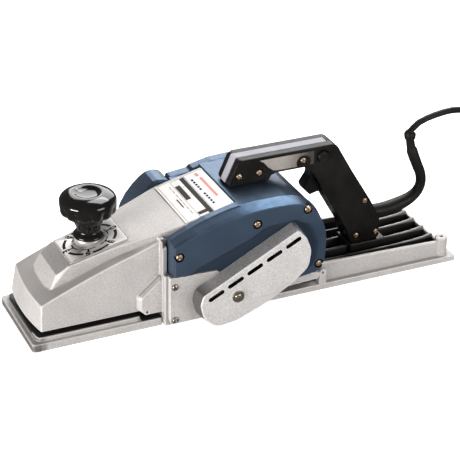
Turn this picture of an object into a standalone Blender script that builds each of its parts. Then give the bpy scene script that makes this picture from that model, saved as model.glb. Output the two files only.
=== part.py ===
"""A hand-held electric planer with an 82 mm cutter drum, modelled piece by piece.

Everything below is written in millimetres and turned into Blender's metres when an object is made.
+X runs to the rear (the cord end), -Y is the belt side, +Z is up, and z = 0 is the sole.
The origin is on the rear base's bottom face, halfway along the sole.
"""

import math

import bmesh
import bpy
from mathutils import Matrix, Vector

MM = 0.001
GAP = 0.3

# Driving dimensions of the sole and the housings
SOLE_LENGTH = 415.0
SOLE_WIDTH = 90.0
CUT_WIDTH = 82.0
HALF_LENGTH = SOLE_LENGTH / 2
HALF_WIDTH = SOLE_WIDTH / 2
MOUTH_FRONT = -60.0
MOUTH_REAR = -31.0
SHOE_THICK = 7.4
BASE_THICK = 6.0
NOSE_HALF = 39.0
NOSE_REAR = -17.6
DRUM_BLOCK_HALF = 50.0
COVER_FACE = -58.0
RECESS_FACE = -55.0
BELT_COVER_FACE = -71.0
FAR_FACE = 58.0

# Axes of the turning pieces, as (x, z), and the knob's x
DRUM_AXIS = (-44.0, 25.5)
MOTOR_AXIS = (20.0, 60.0)
KNOB_X = -138.8

# The cutter drum and the motor
DRUM_RADIUS = 22.0
TIP_RADIUS = DRUM_AXIS[1]
CHAMBER_RADIUS = 28.0
DRUM_PULLEY_RADIUS = 10.5
MOTOR_PULLEY_RADIUS = 12.0
SHAFT_RADIUS = 5.0
BEARING_RADIUS = 13.0
BELT_THICK = 1.6
CORE_RADIUS = 17.0
STATOR_RADIUS = 29.5

# The sloping top of the nose, where the dial plate and the name plate lie
SLOPE = 0.24
SLOPE_X = -164.7
SLOPE_Z = 67.0

# The drum's flats and its blades
FLAT = 14.0
BLADE_THICK = 2.5

# The belt cover's slots: the first one's middle, the step to the next and half a slot's length and width
SLOT_START = (-48.9, 34.5)
SLOT_STEP = (18.1, 9.2)
SLOT_HALF = (7.4, 1.3)
SLOTS = 5
COVER_BOLT = (-28.6, 29.8)

# The handle, the cord and its coil
HANDLE_HALF = 12.0
CORD_RADIUS = 3.0
CORD_STEP = 13.0
COIL_CENTRE = (309.0, -6.0)
COIL_MEAN_RADIUS = 33.0
COIL_TURNS_ACROSS = 3
COIL_HEIGHT = 24.6
GUARD_STOPS = ((135.5, 0, 43.8), (151, 0, 43.4), (161, 0, 44.4), (170, 0, 46.4), (177, 0, 48.6),
               (183, 0, 51.6), (188, 0, 56), (190.8, 0, 61.4), (191.4, 0, 67.4), (190.2, 0, 74.2), (186, 0, 84),
               (181.8, 0, 93.6), (178.4, 0, 103.2), (176.6, 0, 111), (176, 0, 118.6))
CORD_STOPS = ((177.7, 0, 121.6), (180.8, 0, 124.7), (186.2, 0, 127.8), (194.4, 0, 130.4), (204, 0.4, 132.0),
              (215, 1.2, 132.8), (226, 2.6, 131.8), (237, 4.6, 128.0), (247, 7.6, 120.6), (255.5, 11.6, 109.8),
              (262.5, 16.2, 96), (268.5, 21.4, 80), (274.5, 27.2, 62.5), (281.5, 33.6, 45), (291, 39.6, 28.5),
              (303, 43.4, 15.4), (317, 44, 6.6), (332, 38.8, 3.4), (344.5, 28.4, 3.1), (352.4, 14, 3.1),
              (354.3, -0.6, 3.1))

BLUE = ("blue paint", (0.085, 0.16, 0.30), 0.38, 0.2)
SILVER = ("cast aluminium", (0.60, 0.58, 0.56), 0.45, 0.9)
BLACK = ("black plastic", (0.012, 0.012, 0.012), 0.18, 0.0)
RUBBER = ("black rubber", (0.03, 0.028, 0.026), 0.55, 0.0)
STEEL = ("steel", (0.55, 0.55, 0.55), 0.3, 1.0)
BRASS = ("yellow zinc", (0.62, 0.38, 0.18), 0.3, 1.0)
COPPER = ("copper", (0.72, 0.33, 0.18), 0.35, 1.0)
PLATE = ("printed plate", (0.72, 0.71, 0.70), 0.4, 0.6)
CARBON = ("carbon", (0.03, 0.03, 0.035), 0.7, 0.0)


# ---------------------------------------------------------------- helpers


def clear_scene():
    for obj in list(bpy.data.objects):
        bpy.data.objects.remove(obj)


def material(look):
    name, colour, roughness, metallic = look
    found = bpy.data.materials.get(name)
    if found:
        return found
    made = bpy.data.materials.new(name)
    made.use_nodes = True
    shader = made.node_tree.nodes["Principled BSDF"]
    shader.inputs["Base Color"].default_value = (*colour, 1.0)
    shader.inputs["Roughness"].default_value = roughness
    shader.inputs["Metallic"].default_value = metallic
    return made


def place(name, shape, look, origin=(0.0, 0.0, 0.0)):
    """Makes an object of a bmesh in millimetres, with its origin at a point in millimetres."""
    bmesh.ops.recalc_face_normals(shape, faces=shape.faces)
    shape.transform(Matrix.Scale(MM, 4) @ Matrix.Translation(-Vector(origin)))
    mesh = bpy.data.meshes.new(name)
    shape.to_mesh(mesh)
    shape.free()
    mesh.shade_smooth()
    mesh.set_sharp_from_angle(angle=math.radians(35))
    mesh.materials.append(material(look))
    obj = bpy.data.objects.new(name, mesh)
    obj.location = Vector(origin) * MM
    bpy.context.scene.collection.objects.link(obj)
    return obj


def bevel(obj, width, segments=1, angle=50.0):
    edge = obj.modifiers.new("edge", "BEVEL")
    edge.width = width * MM
    edge.segments = segments
    edge.limit_method = "ANGLE"
    edge.angle_limit = math.radians(angle)
    return obj


def combine(obj, shape, operation):
    helper = place(f"{obj.name}_{operation.lower()}_{len(obj.modifiers)}", shape, SILVER)
    helper.hide_render = True
    helper.display_type = "WIRE"
    step = obj.modifiers.new(operation.lower(), "BOOLEAN")
    step.operation = operation
    step.object = helper
    step.solver = "EXACT"


def cut(obj, *shapes):
    for shape in shapes:
        combine(obj, shape, "DIFFERENCE")


def join(obj, *shapes):
    for shape in shapes:
        combine(obj, shape, "UNION")


def arc(centre, radius, start, end, steps):
    """Points on a circle from one angle to another, in degrees, both ends included."""
    turn = [math.radians(start + (end - start) * i / steps) for i in range(steps + 1)]
    return [(centre[0] + radius * math.cos(a), centre[1] + radius * math.sin(a)) for a in turn]


def rounded(corners, steps=4):
    """An outline from (a, b, radius) corners, each with a radius turned into an arc's points."""
    outline = []
    count = len(corners)
    for i, (a, b, radius) in enumerate(corners):
        here = Vector((a, b))
        before = (Vector(corners[i - 1][:2]) - here).normalized()
        after = (Vector(corners[(i + 1) % count][:2]) - here).normalized()
        if radius <= 0:
            outline.append((a, b))
            continue
        half = before.angle(after) / 2
        reach = radius / math.tan(half)
        centre = here + (before + after).normalized() * radius / math.sin(half)
        first = here + before * reach - centre
        last = here + after * reach - centre
        sweep = first.angle_signed(last)
        for k in range(steps + 1):
            spoke = first.copy()
            spoke.rotate(Matrix.Rotation(-sweep * k / steps, 2))
            outline.append(tuple(centre + spoke))
    return outline


def in_space(point, axis, level):
    """A point of an outline put in space: an X outline is (y, z), a Y one (x, z) and a Z one (x, y)."""
    a, b = point
    return {"X": (level, a, b), "Y": (a, level, b), "Z": (a, b, level)}[axis]


def skin(outlines, closed=False):
    """A solid through outlines in space; a closed one joins its last outline to its first."""
    shape = bmesh.new()
    rings = [[shape.verts.new(point) for point in outline] for outline in outlines]
    pairs = list(zip(rings, rings[1:]))
    if closed:
        pairs.append((rings[-1], rings[0]))
    else:
        shape.faces.new(rings[0])
        shape.faces.new(rings[-1])
    for ring, beyond in pairs:
        for i in range(len(ring)):
            j = (i + 1) % len(ring)
            shape.faces.new((ring[i], ring[j], beyond[j], beyond[i]))
    return shape


def loft(lower, upper, axis, low, high):
    """A closed solid between two outlines with the same number of points."""
    return skin([[in_space(p, axis, low) for p in lower], [in_space(p, axis, high) for p in upper]])


def prism(outline, axis, low, high):
    return loft(outline, outline, axis, low, high)


def block(x, y, z):
    """A box from its lowest and highest x, y and z."""
    return prism([(x[0], y[0]), (x[1], y[0]), (x[1], y[1]), (x[0], y[1])], "Z", z[0], z[1])


def turned(profile, axis, centre, steps=24):
    """A solid of revolution from (radius, height) points that start and end on the axis."""
    shape = bmesh.new()
    rings = []
    for radius, height in profile:
        if radius == 0:
            rings.append([shape.verts.new(in_space(centre, axis, height))])
            continue
        circle = arc(centre, radius, 0, 360 * (steps - 1) / steps, steps - 1)
        rings.append([shape.verts.new(in_space(p, axis, height)) for p in circle])
    for low, high in zip(rings, rings[1:]):
        for i in range(steps):
            j = (i + 1) % steps
            corners = [low[i % len(low)], low[j % len(low)], high[j % len(high)], high[i % len(high)]]
            shape.faces.new(list(dict.fromkeys(corners)))
    return shape


def rod(axis, centre, radius, low, high, steps=24):
    return turned([(0, low), (radius, low), (radius, high), (0, high)], axis, centre, steps)


def ring_of(profile, axis, centre, steps):
    """A ring of revolution from a closed section of (radius, height) points."""
    last = 360 * (steps - 1) / steps
    return skin([[in_space(p, axis, height) for p in arc(centre, radius, 0, last, steps - 1)]
                 for radius, height in profile], closed=True)


def pipe(axis, centre, inner, outer, low, high, steps=24):
    """A ring with a round hole."""
    return ring_of([(inner, low), (outer, low), (outer, high), (inner, high)], axis, centre, steps)


def capsule(one, other, radius_one, radius_other, steps=8):
    """The outline of a belt round two circles, given by their centres and radii."""
    span = Vector(other) - Vector(one)
    heading = math.degrees(math.atan2(span.y, span.x))
    lean = math.degrees(math.asin((radius_one - radius_other) / span.length))
    side = 90 - lean
    lower = arc(one, radius_one, heading + side, heading + 360 - side, steps)
    upper = arc(other, radius_other, heading - side, heading + side, steps)
    return lower + upper


def leaning_box(middle, along, half_long, half_wide):
    """A rectangle's outline, with its long side along a direction."""
    across = Vector((-along.y, along.x))
    one, other = along * half_long, across * half_wide
    return [tuple(middle + corner) for corner in (-one - other, one - other, one + other, other - one)]


def slope_z(x):
    return SLOPE_Z + SLOPE * (x - SLOPE_X)


def smooth_route(stops, step):
    """Evenly spaced points on a Catmull-Rom curve through the stops."""
    knots = [Vector(stop) for stop in stops]
    knots = [2 * knots[0] - knots[1], *knots, 2 * knots[-1] - knots[-2]]
    fine = []
    for a, b, c, d in zip(knots, knots[1:], knots[2:], knots[3:]):
        for i in range(24):
            t = i / 24
            fine.append(0.5 * (2 * b + (c - a) * t + (2 * a - 5 * b + 4 * c - d) * t * t
                               + (3 * b - a - 3 * c + d) * t ** 3))
    fine.append(knots[-2])
    reach = [0.0]
    for a, b in zip(fine, fine[1:]):
        reach.append(reach[-1] + (b - a).length)
    count = max(2, round(reach[-1] / step))
    points = []
    k = 0
    for i in range(count + 1):
        want = reach[-1] * i / count
        while k < len(fine) - 2 and reach[k + 1] < want:
            k += 1
        share = (want - reach[k]) / (reach[k + 1] - reach[k])
        points.append(fine[k].lerp(fine[k + 1], min(1.0, share)))
    return points


def tube(name, points, radii, look, resolution=2):
    """A capped tube along points in millimetres, with a radius at each point."""
    curve = bpy.data.curves.new(name, "CURVE")
    curve.dimensions = "3D"
    curve.bevel_depth = MM
    curve.bevel_resolution = resolution
    curve.use_fill_caps = True
    spline = curve.splines.new("POLY")
    spline.points.add(len(points) - 1)
    for knot, point, radius in zip(spline.points, points, radii):
        knot.co = (*(point * MM), 1.0)
        knot.radius = radius
    curve.materials.append(material(look))
    obj = bpy.data.objects.new(name, curve)
    bpy.context.scene.collection.objects.link(obj)
    return obj


# ---------------------------------------------------------------- sole and frame


def front_shoe():
    """The sliding front sole: its plate, the raised pad above it and the threaded boss."""
    narrow = CUT_WIDTH / 2 + 0.5
    step_x = -89.0
    plan = rounded([(-HALF_LENGTH, -HALF_WIDTH, 3), (step_x, -HALF_WIDTH, 0), (step_x, -narrow, 0),
                    (MOUTH_FRONT, -narrow, 0), (MOUTH_FRONT, narrow, 0), (step_x, narrow, 0),
                    (step_x, HALF_WIDTH, 0), (-HALF_LENGTH, HALF_WIDTH, 3)])
    shoe = place("front_shoe", prism(plan, "Z", 0, SHOE_THICK), SILVER)
    lip = [(MOUTH_FRONT, 1.5), (MOUTH_FRONT - 6.5, SHOE_THICK), (MOUTH_FRONT - 6.5, 9),
           (MOUTH_FRONT + 4, 9), (MOUTH_FRONT + 4, 1.5)]
    cut(shoe, prism(lip, "Y", -HALF_WIDTH, HALF_WIDTH))
    pad = rounded([(-202.5, -41.5, 6), (-107, -41.5, 5), (-107, 41.5, 5), (-202.5, 41.5, 6)])
    join(shoe, prism(pad, "Z", SHOE_THICK - 1, 11))
    join(shoe, rod("Z", (KNOB_X, 0), 11, 10, 44))
    cut(shoe, rod("Z", (KNOB_X, 0), 4.5, 4.5, 50))
    return shoe


def nose_plan(near, middle, far, half):
    """The nose seen from above: its bowed front through three x, then its two rear corners."""
    steps = 6
    front = []
    for i in range(steps + 1):
        t = i / steps
        x = (1 - t) * (1 - 2 * t) * near + 4 * t * (1 - t) * middle + t * (2 * t - 1) * far
        front.append((x, -half + 2 * half * t))
    return front + [(NOSE_REAR, half), (NOSE_REAR, -half)]


def ridge():
    """The ridge on the nose, from its leaning front face to the name plate's end."""
    sections = ((-186.6, -177.2, -23.2, 19.6, 58.2), (-167.2, -167.2, -26.6, 20.4, slope_z(-167.2)),
                (-128.0, -128.0, -27.7, 22.5, slope_z(-128)), (-106.0, -106.0, -31.0, 27.0, slope_z(-106)),
                (-62.0, -62.0, -38.5, 38.5, slope_z(-62)),
                (NOSE_REAR, NOSE_REAR, -38.5, 38.5, slope_z(NOSE_REAR)))
    foot = 36
    return skin([[(low, near - GAP, foot), (high, near, top), (high, far, top), (low, far + GAP, foot)]
                 for low, high, near, far, top in sections])


def main_frame():
    """The front casting: nose, ridge, drum block, chip duct and bearing seats."""
    foot = nose_plan(-197.6, -202.2, -199.0, NOSE_HALF + 0.4)
    head = nose_plan(-196.0, -196.5, -192.5, NOSE_HALF - 0.4)
    frame = place("main_frame", loft(foot, head, "Z", 15.2, 90), SILVER)
    shoulder = [(-215, 32.5), (-199, 39.0), (-170, 51.5), (-140, 62.8), (-110, 72.4), (-85.7, 80.9),
                (-10, 80.9), (-10, 130), (-215, 130)]
    cut(frame, prism(shoulder, "Y", -60, 60))
    cut(frame, prism([(-60, 51), (-88, 15), (-88, 0), (0, 0), (0, 51)], "Y", -60, 60))
    join(frame, ridge())
    join(frame, block((-63, NOSE_REAR), (-38.8, 38.8), (60, 91)))
    drum_block = rounded([(-88.5, 1.2, 0), (-12.3, 1.2, 0), (-12.3, 51, 0), (-88.5, 51, 0)])
    join(frame, prism(drum_block, "Y", -DRUM_BLOCK_HALF, DRUM_BLOCK_HALF))
    join(frame, block((-88.5, -84.2), (-45, -30), (40, 82.5)))
    lug = [(-104, 12.4), (-88, 12.4), (-88, 47.5), (-90.5, 47.5), (-109.8, 31), (-110, 18.5)]
    join(frame, prism(lug, "Y", -45, -30))
    cavity = [(-192, 8), (-192, 35), (-92.5, 73), (-92.5, 8)]
    cut(frame, prism(cavity, "Y", -35, 35))
    cut(frame, block((-93, MOUTH_FRONT), (-42, 42), (-1, 11.4)))
    cut(frame, block((-66.5, MOUTH_REAR), (-42, 42), (-1, 14)))
    cut(frame, block((MOUTH_REAR - 0.5, 0), (-60, 60), (-1, 8.8)))
    bore = [(0, -60), (13.3, -60), (13.3, -43.2), (9, -43.2), (9, -42.1), (CHAMBER_RADIUS, -42.1),
            (CHAMBER_RADIUS, 42.1), (9, 42.1), (9, 43.2), (13.3, 43.2), (13.3, 48.5), (0, 48.5)]
    cut(frame, turned(bore, "Y", DRUM_AXIS, 28))
    cut(frame, block((-77, -55), (-36, 36), (40, 74)))
    cut(frame, block((-77, -55), (30, 60), (53, 74)))
    spindle_way = [(0, 30), (10, 30), (10, 57), (4.6, 57), (4.6, 90), (0, 90)]
    cut(frame, turned(spindle_way, "Z", (KNOB_X, 0), 18))
    cut(frame, rod("Y", (-102.6, 16), 1.2, -50, -42, 10))
    return frame


def rear_base():
    """The fixed rear sole with its side walls, ribs, handle pad, lug and drilled boss."""
    section = [(MOUTH_REAR, 0), (HALF_LENGTH, 0), (HALF_LENGTH, 5.2), (HALF_LENGTH - 6, BASE_THICK),
               (-22.6, BASE_THICK), (MOUTH_REAR, 1.8)]
    base = place("rear_base", prism(section, "Y", -HALF_WIDTH, HALF_WIDTH), SILVER)
    wall = [(64.5, 4), (196, 4), (196, 21), (64.5, 25)]
    join(base, prism(wall, "Y", -40, -36.5))
    far_wall = [(-11, 4), (196, 4), (196, 21), (64.5, 25), (-11, 25)]
    join(base, prism(far_wall, "Y", 36.5, 40))
    join(base, block((192.5, 196), (-39, 39), (4, 19)))
    join(base, block((-11, 63), (-30, 37), (4, 27.5)))
    rib = [(60, 4), (193, 4), (193, 22.5), (183, 20.4), (170, 19.2), (150, 18.4), (60, 18)]
    for y in (-25.5, -9.5, 8.0, 23.5):
        join(base, prism(rib, "Y", y, y + 2.4))
    join(base, block((112, 149), (-14, 14), (4, 21)))
    lug = rounded([(64.8, 4, 0), (71.8, 4, 0), (71.8, 21, 3.4), (64.8, 21, 3.4)])
    join(base, prism(lug, "Y", -44.5, -38))
    cut(base, rod("Y", (68.3, 17.2), 1.3, -50, -41.5, 10))
    boss = (195.5, -37)
    join(base, rod("Z", boss, 6.0, 4, 24.5, 16))
    cut(base, rod("Z", boss, 1.6, 14, 30, 10))
    return base


# ---------------------------------------------------------------- motor housing and covers


def cover_outline(face):
    """The blue cover's outline: face 0 is its outer edge against the housing, face 1 its flat front."""
    edges = [
        ((-83.0, 52.0), (-82.0, 52.4)),
        ((-42.0, 50.3), (-42.0, 50.3)),
        ((10.0, 21.2), (10.0, 21.6)),
        ((27.4, 24.8), (27.4, 25.2)),
        ((50.8, 28.0), (50.8, 28.4)),
        ((60.8, 30.5), (59.0, 31.4)),
        ((63.6, 41.0), (61.8, 41.4)),
        ((64.4, 55.0), (62.6, 55.0)),
        ((63.6, 68.0), (61.8, 67.6)),
        ((59.6, 82.5), (57.6, 80.5)),
        ((51.6, 94.0), (49.6, 91.6)),
        ((42.0, 101.2), (40.0, 98.6)),
        ((29.0, 105.0), (27.4, 101.6)),
        ((8.0, 106.0), (6.0, 102.2)),
        ((-8.0, 105.4), (-9.0, 101.2)),
        ((-25.0, 103.6), (-26.0, 98.2)),
        ((-48.3, 97.6), (-48.0, 93.2)),
        ((-66.0, 91.0), (-65.0, 88.4)),
        ((-83.0, 83.4), (-81.6, 81.0)),
    ]
    return [pair[face] for pair in edges]


def motor_housing():
    """The blue shell round the motor, open on both sides."""
    outline = [(-17, 51.3), (-11.8, 51.3), (-11.8, 28), (50.8, 28.3), (60.8, 30.7), (63.6, 41), (64.4, 55),
               (63.6, 68), (59.6, 82.5), (51.6, 93), (42, 99.6), (29, 103), (14, 103.4), (-17, 102.9)]
    housing = place("motor_housing", prism(outline, "Y", -HALF_WIDTH, HALF_WIDTH), BLUE)
    cut(housing, rod("Y", MOTOR_AXIS, STATOR_RADIUS + GAP, -50, 50, 32))
    return housing


def near_side_cover():
    """The blue side cover behind the belt, with its recess, bearing seat and screw bosses."""
    inner, outer = cover_outline(0), cover_outline(1)
    cover = place("near_side_cover", loft(inner, outer, "Y", -HALF_WIDTH - GAP, COVER_FACE), BLUE)
    front = [(-83, 52), (-17.4, 52), (-17.4, 104.8), (-25, 103.6), (-48.3, 97.6), (-66, 91), (-83, 83.4)]
    join(cover, prism(front, "Y", -47, -NOSE_HALF - GAP))
    cut(cover, block((-89, -83.9), (-46, -30), (40, 90)))
    cut(cover, prism(belt_outline(-0.07), "Y", COVER_FACE - 2, RECESS_FACE))
    cut(cover, block((-89, -12), (-DRUM_BLOCK_HALF - GAP, -30), (20, 51.4)))
    cut(cover, rod("Y", MOTOR_AXIS, BEARING_RADIUS + GAP, -53.5, -40))
    cut(cover, rod("Y", MOTOR_AXIS, 6.5, -60, -50))
    return cover


def far_side_cover():
    """The blue cover over the motor's far end, with the inner boss that holds the far bearing."""
    outline = [(-45, 52), (-12, 52), (10, 21.2), (27.4, 24.8), (50.8, 28), (60.8, 30.5), (63.6, 41), (64.4, 55),
               (63.6, 68), (59.6, 80.5), (51.6, 90.5), (42, 98), (29, 102.2), (16, 103.2), (-3, 102.2),
               (-21.7, 98.0), (-24, 95.6), (-45, 93.2)]
    cover = place("far_side_cover", prism(outline, "Y", HALF_WIDTH + GAP, FAR_FACE), BLUE)
    bevel(cover, 2.0, 2, 50)
    join(cover, block((-45, -17.4), (NOSE_HALF + GAP, 47), (53, 93)))
    join(cover, rod("Y", MOTOR_AXIS, 17, 38, 47))
    cut(cover, rod("Y", MOTOR_AXIS, BEARING_RADIUS + GAP, 30, 48))
    return cover


def chip_chute():
    """The arched hood on the far side that throws the chips out sideways."""
    outline = [(-45.4, 52), (-45.4, 91), (-48.5, 94.4), (-53, 96), (-58, 96.2), (-62.5, 95), (-68, 91.4),
               (-74.5, 85.4), (-81.6, 77), (-86.5, 68.5), (-89.4, 60), (-90, 52)]
    chute = place("chip_chute", prism(outline, "Y", NOSE_HALF + GAP, 64), BLUE)
    bevel(chute, 2.0, 2, 40)
    mouth = [(-49.4, 56.5), (-49.4, 88), (-52.5, 91), (-57.5, 91.6), (-62, 90), (-67.5, 86), (-73.5, 80),
             (-79.5, 72), (-83.4, 63.5), (-84.6, 56.5)]
    cut(chute, prism(mouth, "Y", 30, 70))
    return chute


def side_plate():
    """The silver plate that closes the near drum bearing."""
    outline = rounded([(-85.8, 4.6, 5), (-30, 4.6, 6), (-3, 12, 0), (24, 17.6, 0), (58, 19.4, 2), (59.5, 25, 1),
                       (50.8, 27.3, 0), (27.4, 24.1, 0), (10.6, 20.6, 0), (-42, 49.6, 0), (-85.8, 51.3, 1)], 3)
    plate = place("side_plate", prism(outline, "Y", RECESS_FACE, -DRUM_BLOCK_HALF - GAP), SILVER)
    cut(plate, rod("Y", DRUM_AXIS, 6.5, -60, -45))
    return plate


def belt_outline(share):
    """The belt cover's outline, drawn in towards its middle by a share."""
    corners = [(-62.5, 36.0, 4), (-65.5, 27.0, 9), (-62.0, 12.0, 14), (-50.0, 1.2, 14), (-30.0, 3.6, 24),
               (2.0, 16.5, 0), (27.0, 31.5, 20), (41.5, 44.0, 12), (43.6, 61.0, 14), (38.5, 74.0, 8),
               (30.0, 84.0, 4)]
    middle = Vector((-10.0, 43.0))
    return [tuple(Vector(point).lerp(middle, share)) for point in rounded(corners, 3)]


def belt_cover():
    """The silver cover over the pulleys: a tapered shell with five slots along its top edge."""
    foot = belt_outline(0)
    face = belt_outline(0.035)
    shell = place("belt_cover", loft(foot, face, "Y", RECESS_FACE - GAP, BELT_COVER_FACE), SILVER)
    cut(shell, prism(belt_outline(0.085), "Y", BELT_COVER_FACE + 1.8, -50))
    step = Vector(SLOT_STEP)
    for k in range(SLOTS):
        outline = leaning_box(Vector(SLOT_START) + step * k, step.normalized(), *SLOT_HALF)
        cut(shell, prism(outline, "Y", BELT_COVER_FACE - 2, BELT_COVER_FACE + 4))
    join(shell, rod("Y", COVER_BOLT, 3.4, RECESS_FACE - GAP, BELT_COVER_FACE + 1.0, 16))
    cut(shell, rod("Y", COVER_BOLT, 1.8, -80, -50, 12))
    return shell


# ---------------------------------------------------------------- plates and screws


def sloped_plate(name, x, y, look):
    """A thin plate lying on the nose's slope, between two x and two y."""
    thick = 0.8
    outline = [(x[0], slope_z(x[0]) + GAP), (x[1], slope_z(x[1]) + GAP),
               (x[1], slope_z(x[1]) + GAP + thick), (x[0], slope_z(x[0]) + GAP + thick)]
    return place(name, prism(outline, "Y", y[0], y[1]), look)


def dial_plate():
    plate = sloped_plate("dial_plate", (SLOPE_X, -111.2), (-25.0, 18.6), PLATE)
    cut(plate, rod("Z", (KNOB_X, 0), 6.5, 60, 90))
    return plate


def name_plate():
    return sloped_plate("name_plate", (-62.0, -18.2), (-38.6, 34.5), PLATE)


def screw(name, head, length, head_radius, shank_radius, look):
    """A pan-head screw along +Y; head is the middle of its head's outer face."""
    x, y, z = head
    profile = [(0, y + length), (shank_radius, y + length), (shank_radius, y + 1.9), (head_radius, y + 1.9),
               (head_radius, y + 0.7), (head_radius * 0.7, y), (0, y)]
    return place(name, turned(profile, "Y", (x, z), 8), look)


def drill(obj, head, length, head_radius, shank_radius, depth):
    """Sinks a counterbore and a clearance hole for a screw along +Y into a piece."""
    x, y, z = head
    cut(obj, rod("Y", (x, z), head_radius + 2 * GAP, y - 6, y + depth, 10))
    cut(obj, rod("Y", (x, z), shank_radius + 2 * GAP, y - 6, y + length + GAP, 8))


def cover_screws(cover):
    spots = ((-77.6, 71.6), (-4.9, 88.8), (43.6, 93.6), (56.2, 36.8))
    for number, (x, z) in enumerate(spots, 1):
        head = (x, COVER_FACE - 0.6, z)
        drill(cover, head, 9, 3.4, 1.8, 2.2)
        screw(f"cover_screw_{number}", head, 9, 3.4, 1.8, COPPER)


def plate_screws(plate):
    for number, z in enumerate((41.3, 8.4), 1):
        head = (-80.6, RECESS_FACE - 1.2, z)
        drill(plate, head, 5.0, 3.0, 1.6, 2.2)
        screw(f"plate_screw_{number}", head, 4.6, 3.0, 1.6, STEEL)


def belt_cover_screw():
    """The cover's screw with its washer-like flange."""
    y = BELT_COVER_FACE
    profile = [(0, -56), (1.5, -56), (1.5, y - GAP), (5.6, y - GAP), (5.6, y - 1.2), (3.6, y - 1.2),
               (3.6, y - 2.4), (2.6, y - 3.0), (0, y - 3.0)]
    return place("belt_cover_screw", turned(profile, "Y", COVER_BOLT, 16), STEEL)


# ---------------------------------------------------------------- knob


def knob():
    """The black mushroom knob with its fluted rim and dished top."""
    centre = (KNOB_X, 0)
    foot = slope_z(KNOB_X) + 4.6
    side = [(0, 0), (12.2, 0), (12.7, 1.6), (10.6, 5.6), (9.9, 9), (10.6, 14), (12.6, 18.6), (18.2, 19.6),
            (22.4, 21.8), (24.4, 26), (24.8, 33.5), (24.2, 36.8), (20.0, 39.8), (15.0, 41.9), (12.8, 41.2),
            (9.0, 39.2), (4.0, 38.8), (0, 38.8)]
    profile = [(radius, foot + height) for radius, height in side]
    shape = turned(profile, "Z", centre, 36)
    for v in shape.verts:
        reach = Vector((v.co.x - KNOB_X, v.co.y))
        side = min(1.0, max(0.0, (v.co.z - foot - 21) / 3)) * min(1.0, max(0.0, (foot + 38 - v.co.z) / 3))
        if reach.length > 17:
            dip = 0.9 * side * (0.5 - 0.5 * math.cos(12 * math.atan2(reach.y, reach.x)))
            v.co.x -= reach.x / reach.length * dip
            v.co.y -= reach.y / reach.length * dip
    return place("knob", shape, BLACK, (*centre, foot))


def knob_spindle():
    """The threaded spindle with the collar that rests on the dial plate."""
    foot = slope_z(KNOB_X) + 4.6
    profile = [(0, 8.4), (4.0, 8.4), (4.0, foot - 2.2), (6.0, foot - 2.2), (6.0, foot - GAP), (0, foot - GAP)]
    return place("knob_spindle", turned(profile, "Z", (KNOB_X, 0), 20), STEEL, (KNOB_X, 0, foot))


def knob_collar():
    """The bright ring round the spindle on the dial plate."""
    foot = slope_z(KNOB_X) + 4.6
    front, rear = KNOB_X - 16.2, KNOB_X + 16.8
    lift = 1.4
    under = prism([(front, slope_z(front) + lift), (rear, slope_z(rear) + lift), (rear, 60), (front, 60)],
                  "Y", -20, 20)
    ring = place("knob_collar", pipe("Z", (KNOB_X, 0), 6.4, 13.2, 66, foot - GAP, 28), STEEL)
    cut(ring, under)
    return ring


def depth_spring():
    """The compression spring between the shoe's boss and the frame."""
    turns, per_turn = 4, 10
    points = []
    for i in range(turns * per_turn + 1):
        angle = 2 * math.pi * i / per_turn
        rise = 45.6 + (55.0 - 45.6) * i / (turns * per_turn)
        points.append(Vector((KNOB_X + 7.5 * math.cos(angle), 7.5 * math.sin(angle), rise)))
    return tube("depth_spring", points, [0.8] * len(points), STEEL, 1)


# ---------------------------------------------------------------- drum, belt and motor


def drum_turn(u, v, side):
    """A point of the drum's section turned into the x, z plane for one of its two blades."""
    lean = math.radians(70 if side > 0 else 250)
    x = DRUM_AXIS[0] + u * math.sin(lean) + v * math.cos(lean)
    z = DRUM_AXIS[1] - u * math.cos(lean) + v * math.sin(lean)
    return (x, z)


def drum_body():
    end = CUT_WIDTH / 2 - 0.5
    shaft = SHAFT_RADIUS - 0.1
    profile = [(0, -69), (3.9, -69), (3.9, -55.6), (shaft, -55.6), (shaft, -42.6), (8, -42.6), (8, -end),
               (DRUM_RADIUS, -end), (DRUM_RADIUS, end), (8, end), (8, 42.6), (shaft, 42.6), (shaft, 48.2),
               (0, 48.2)]
    drum = place("drum_body", turned(profile, "Y", DRUM_AXIS, 24), SILVER, (DRUM_AXIS[0], 0, DRUM_AXIS[1]))
    for side in (-1, 1):
        corners = ((-26, FLAT), (26, FLAT), (26, 30), (-26, 30))
        cut(drum, prism([drum_turn(u, v, side) for u, v in corners], "Y", -end - 1, end + 1))
    return drum


def blades_and_clamps():
    origin = (DRUM_AXIS[0], 0, DRUM_AXIS[1])
    low = FLAT + GAP
    high = low + BLADE_THICK
    tip = math.sqrt((TIP_RADIUS - 0.05) ** 2 - high ** 2)
    for name, side in (("a", 1), ("b", -1)):
        section = [(-11, low), (tip - 3.6, low), (tip, high), (-11, high)]
        blade = prism([drum_turn(u, v, side) for u, v in section], "Y", -CUT_WIDTH / 2, CUT_WIDTH / 2)
        place(f"blade_{name}", blade, STEEL, origin)
        base = high + GAP
        reach = 12.0
        rim = math.degrees(math.acos(reach / DRUM_RADIUS))
        crown = arc((0, 0), DRUM_RADIUS, rim, 180 - rim, 8)
        section = [(-reach, base), (reach, base)] + crown
        clamp = prism([drum_turn(u, v, side) for u, v in section], "Y", -39.5, 39.5)
        place(f"blade_clamp_{name}", clamp, STEEL, origin)


def pulley(name, axis, radius, bore, low, high, origin):
    """A pulley with two V grooves."""
    flank = radius - 0.9
    span = high - low
    rim = [(radius, 0), (radius, 0.25), (flank, 0.33), (radius, 0.42), (radius, 0.58), (flank, 0.67),
           (radius, 0.75), (radius, 1), (bore, 1), (bore, 0)]
    profile = [(reach, low + share * span) for reach, share in rim]
    return place(name, ring_of(profile, "Y", axis, 18), STEEL, origin)


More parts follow.
